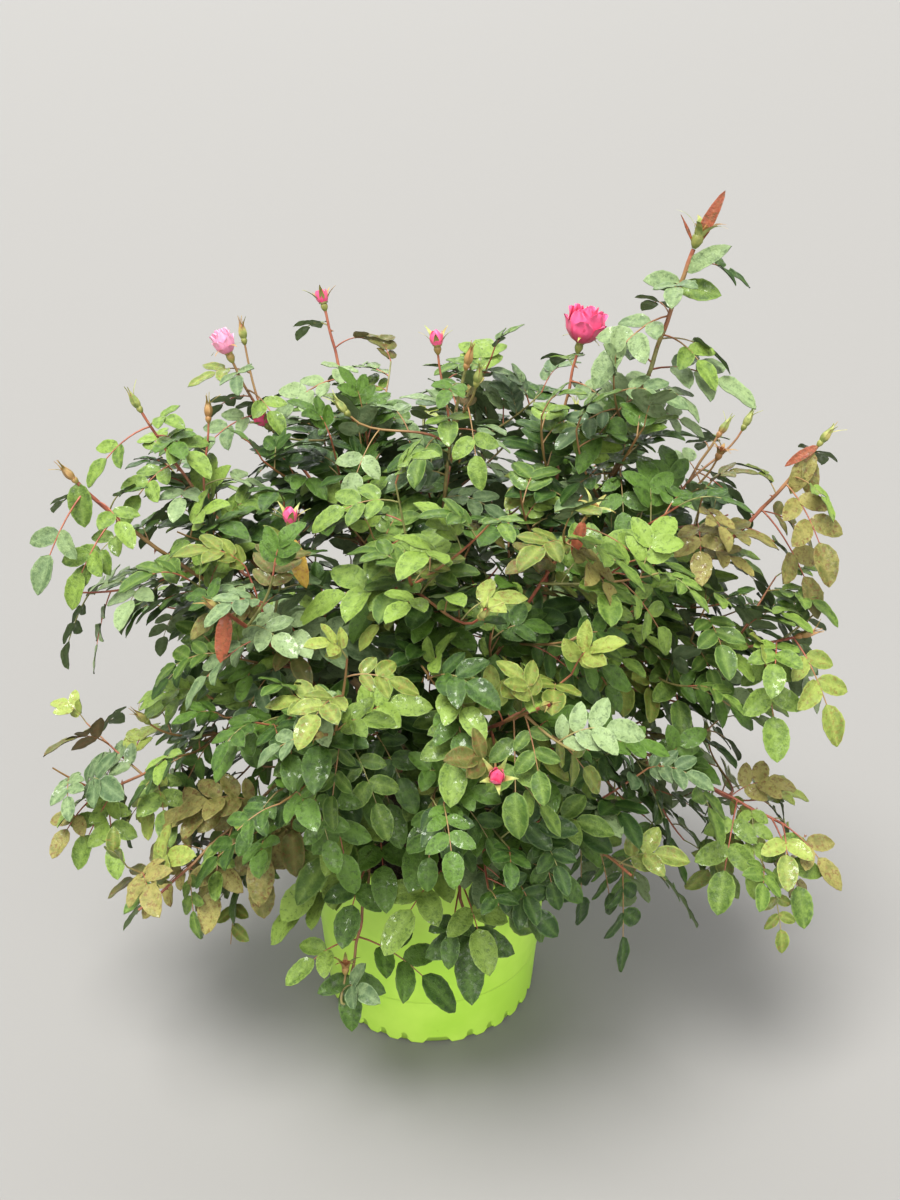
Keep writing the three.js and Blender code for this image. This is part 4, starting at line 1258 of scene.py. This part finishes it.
carriers = {name: shoot["stem"].part(0, STEM_ENDS.get(name, 1.0)) for name, shoot in shoots.items()}
for n, (name, azimuth, reach, height, kind) in enumerate(FLOWERING_TWIGS):
    head = polar(azimuth, reach, height)
    stem = shoots[name]["stem"]
    shares = np.linspace(0.02, 0.92, 40)
    spots = np.array([stem.at(share) for share in shares])
    gap = np.linalg.norm(spots - head, axis=1)
    outside = np.maximum(np.hypot(spots[:, 0], spots[:, 1]) - reach + 0.01, 0)
    above = np.maximum(spots[:, 2] - height + 0.03, 0)
    root_share = shares[np.argmin(np.abs(gap - 0.075) + above * 2 + outside)]
    root = stem.at(root_share)
    span = np.linalg.norm(head - root)
    end_way = unit((head - root) * 0.6 / span + UP * 0.5)
    path = Curve([root, root + unit(stem.tangent(root_share) + (head - root) / span) * span * 0.35,
                  head - end_way * span * 0.35, head])
    carriers[name + " twig"] = path
    bark = "red" if draw(n, 60) < 0.7 else "green"
    radii = np.linspace(*BLOOM_STALK_RADII, BLOOM_STALK_STEPS + 1)
    twigs[bark].grid(tube(path.spaced(BLOOM_STALK_STEPS), radii, 6), closed=True)
    flower_head(head, end_way, kind, 3.1 + n * 0.9)
    mix = SPRAY_TINTS.get(name, SUMMER)
    leaves = max(int(span / 0.026), 1)
    for k in range(leaves):
        share = (k + 0.6) / leaves * 0.8
        add_leaf(path.at(share), path.tangent(share), k * GOLDEN_ANGLE + n * 60, LEAF_SIZE * 0.78, 3,
                 shoots[name], mix, (n, k, 61))

for n, (name, share, way, size, count, tint) in enumerate(CLEAR_LEAVES):
    heading = unit(np.array(way))
    face = unit(np.array([heading[0] * 0.5, heading[1] * 0.5 - 0.25, 1.0]))
    line, made = compound_leaf(shoots[name]["stem"].at(share), heading, face, size, count, None)
    for k, leaf in enumerate(made):
        leaf["shade"] = 0.35 + 0.5 * draw(n, k, 66)
        leaf["wave"] = draw(n, k, 67)
        leaflets[tint].append(leaf)
    radii = STALK_RADIUS * np.linspace(1.4, 0.8, STALK_POINTS)
    stalks["red"].grid(tube(line, radii, 5), closed=True)

for n, (name, share, way, length, slimness, tint) in enumerate(SHOWN_LEAVES):
    along = unit(np.array(way))
    sideways = unit(np.cross(along, SHOWN_FACE))
    leaflets[tint].append({"root": carriers[name].at(share), "along": along, "sideways": sideways,
                           "normal": np.cross(sideways, along), "length": length, "slimness": slimness,
                           "shade": 0.35 + 0.4 * draw(n + 70, 62), "wave": draw(n + 70, 63)})

foliage_nodes = ["foliage_" + name for name in shoots]


def leaf_pieces(name, rows, columns, upper, finish, most):
    """Gathers leaflets into pieces that hold so many of them at most."""
    for n in range(0, len(rows), most):
        some = rows[n:n + most]
        shade = np.array([leaf["shade"] for leaf in some])[:, None, None]
        blades = Joined()
        blades.grid(leaflet_grid(some, columns, upper), shade=shade, rib=1 - np.abs(columns))
        blades.piece(f"{name}_{n // most + 1}", finish, "foliage", foliage_nodes)


under_sides = {"green": [], "warm": []}
for tint, rows in leaflets.items():
    stained = 0.8 if tint in ("bronze", "young_red", "old_gold", "yellow_green") else 0.6
    skin = leaf_finish("leaf_" + tint, *TINTS[tint], gloss=0.24, stained=stained)
    under_sides["warm" if tint in ("bronze", "young_red", "old_gold") else "green"].extend(rows)
    leaf_pieces("leaves_" + tint, rows, UPPER_COLUMNS, True, skin, 1900)
under_finishes = {
    "green": leaf_finish("leaf_underside", (0.080, 0.125, 0.055, 1), (0.165, 0.225, 0.105, 1),
                         (0.24, 0.30, 0.15, 1), (0.070, 0.085, 0.035, 1), gloss=0.46),
    "warm": leaf_finish("leaf_underside_warm", (0.12, 0.10, 0.05, 1), (0.22, 0.18, 0.09, 1),
                        (0.30, 0.16, 0.09, 1), (0.16, 0.06, 0.03, 1), gloss=0.46),
}
for kind, rows in under_sides.items():
    leaf_pieces("leaf_undersides_" + kind, rows, UNDER_COLUMNS, False, under_finishes[kind], 4000)

petal_colours = {
    "magenta": ((0.60, 0.012, 0.080, 1), (0.94, 0.130, 0.320, 1)),
    "pale_pink": ((0.68, 0.120, 0.300, 1), (0.93, 0.500, 0.680, 1)),
    "bud_pink": ((0.42, 0.075, 0.050, 1), (0.62, 0.220, 0.110, 1)),
}
for tint, (deep, light) in petal_colours.items():
    silk = new_finish("petal_" + tint)
    place = silk.place()
    tone = silk.kept("shade")
    veins = silk.noise(place, 300.0, 3.0, 0.6)
    silk.surface({
        "Base Color": silk.blend((tone * 0.7 + veins * 0.5 - 0.1).between(0.0, 1.0), deep, light),
        "Roughness": 0.46 + veins * 0.12,
        "Sheen Weight": 0.15,
        "Normal": silk.bump(veins, 0.3, 0.0006),
    })
    petals[tint].piece("petals_" + tint, silk, "foliage", [])
for name, gathered, dark, light in (
        ("hips", hips, (0.14, 0.17, 0.035, 1), (0.30, 0.30, 0.075, 1)),
        ("sepals", sepals, (0.15, 0.20, 0.045, 1), (0.38, 0.40, 0.120, 1)),
        ("stamens", stamens, (0.22, 0.10, 0.03, 1), (0.45, 0.25, 0.08, 1))):
    green_skin = new_finish(name + "_skin")
    place = green_skin.place()
    tone = green_skin.noise(place, 160.0, 3.0)
    blush = green_skin.noise(place, 26.0, 2.0).between(0.45, 0.62)
    skin = green_skin.blend(tone.between(0.3, 0.7), dark, light)
    green_skin.surface({
        "Base Color": green_skin.blend(blush * 0.6, skin, (0.40, 0.13, 0.06, 1)),
        "Roughness": 0.45 + tone * 0.15,
        "Normal": green_skin.bump(tone, 0.3, 0.0005),
    })
    gathered.piece(name, green_skin, "foliage", [])

red_bark = cane_finish("young_red_bark",
                       (0.20, 0.045, 0.028, 1), (0.36, 0.115, 0.060, 1), (0.22, 0.16, 0.05, 1))
green_bark = cane_finish("young_green_bark",
                         (0.12, 0.125, 0.035, 1), (0.27, 0.27, 0.09, 1), (0.30, 0.13, 0.06, 1))
for kind, bark in (("red", red_bark), ("green", green_bark)):
    twigs[kind].piece(f"twigs_{kind}", bark, "foliage", foliage_nodes)
    stalks[kind].piece(f"leaf_stalks_{kind}", bark, "foliage", foliage_nodes)
prickles.piece("prickles", prickle_horn, "cane_bark", [])

# The place it is shown
# A plain pale floor under an even, cloudy light, seen from standing height in front.
floor_mesh = bpy.data.meshes.new("floor")
floor_mesh.from_pydata([(-60, -60, 0), (60, -60, 0), (60, 60, 0), (-60, 60, 0)], [], [(0, 1, 2, 3)])
pale_floor = new_finish("pale_floor")
pale_floor.surface({"Base Color": (0.208, 0.205, 0.200, 1), "Roughness": 0.9})
floor_mesh.materials.append(pale_floor.material)
floor = bpy.data.objects.new("floor", floor_mesh)
bpy.context.scene.collection.objects.link(floor)

sky = bpy.data.worlds.new("cloudy_sky")
sky.use_nodes = True
sky.node_tree.nodes["Background"].inputs["Color"].default_value = (0.98, 0.975, 0.955, 1)
sky.node_tree.nodes["Background"].inputs["Strength"].default_value = 0.66
bpy.context.scene.world = sky


def soft_light(name, strength, spread, way, colour):
    """Light from one side of the sky, which falls alike on all of the floor."""
    lamp = bpy.data.lights.new(name, "SUN")
    lamp.energy = strength
    lamp.angle = math.radians(spread)
    lamp.color = colour
    made = bpy.data.objects.new(name, lamp)
    made.rotation_euler = Vector(way).to_track_quat("-Z", "Y").to_euler()
    bpy.context.scene.collection.objects.link(made)


soft_light("cloud_light", 6.5, 34, (0.5, 0.7, -2.7), (1.0, 0.985, 0.95))
soft_light("front_light", 1.7, 60, (-0.3, 1.0, -0.55), (1.0, 0.985, 0.95))
soft_light("back_light", 1.1, 60, (0.25, -1.0, -0.6), (0.97, 0.985, 1.0))

view = bpy.data.cameras.new("view")
view.sensor_width = 36
view.lens = 40.5
camera = bpy.data.objects.new("view", view)
camera.location = (0.0205, -1.148, 1.03)
camera.rotation_euler = (math.radians(63.4), 0, 0)
bpy.context.scene.collection.objects.link(camera)
bpy.context.scene.camera = camera

bpy.context.scene.view_settings.view_transform = "Standard"
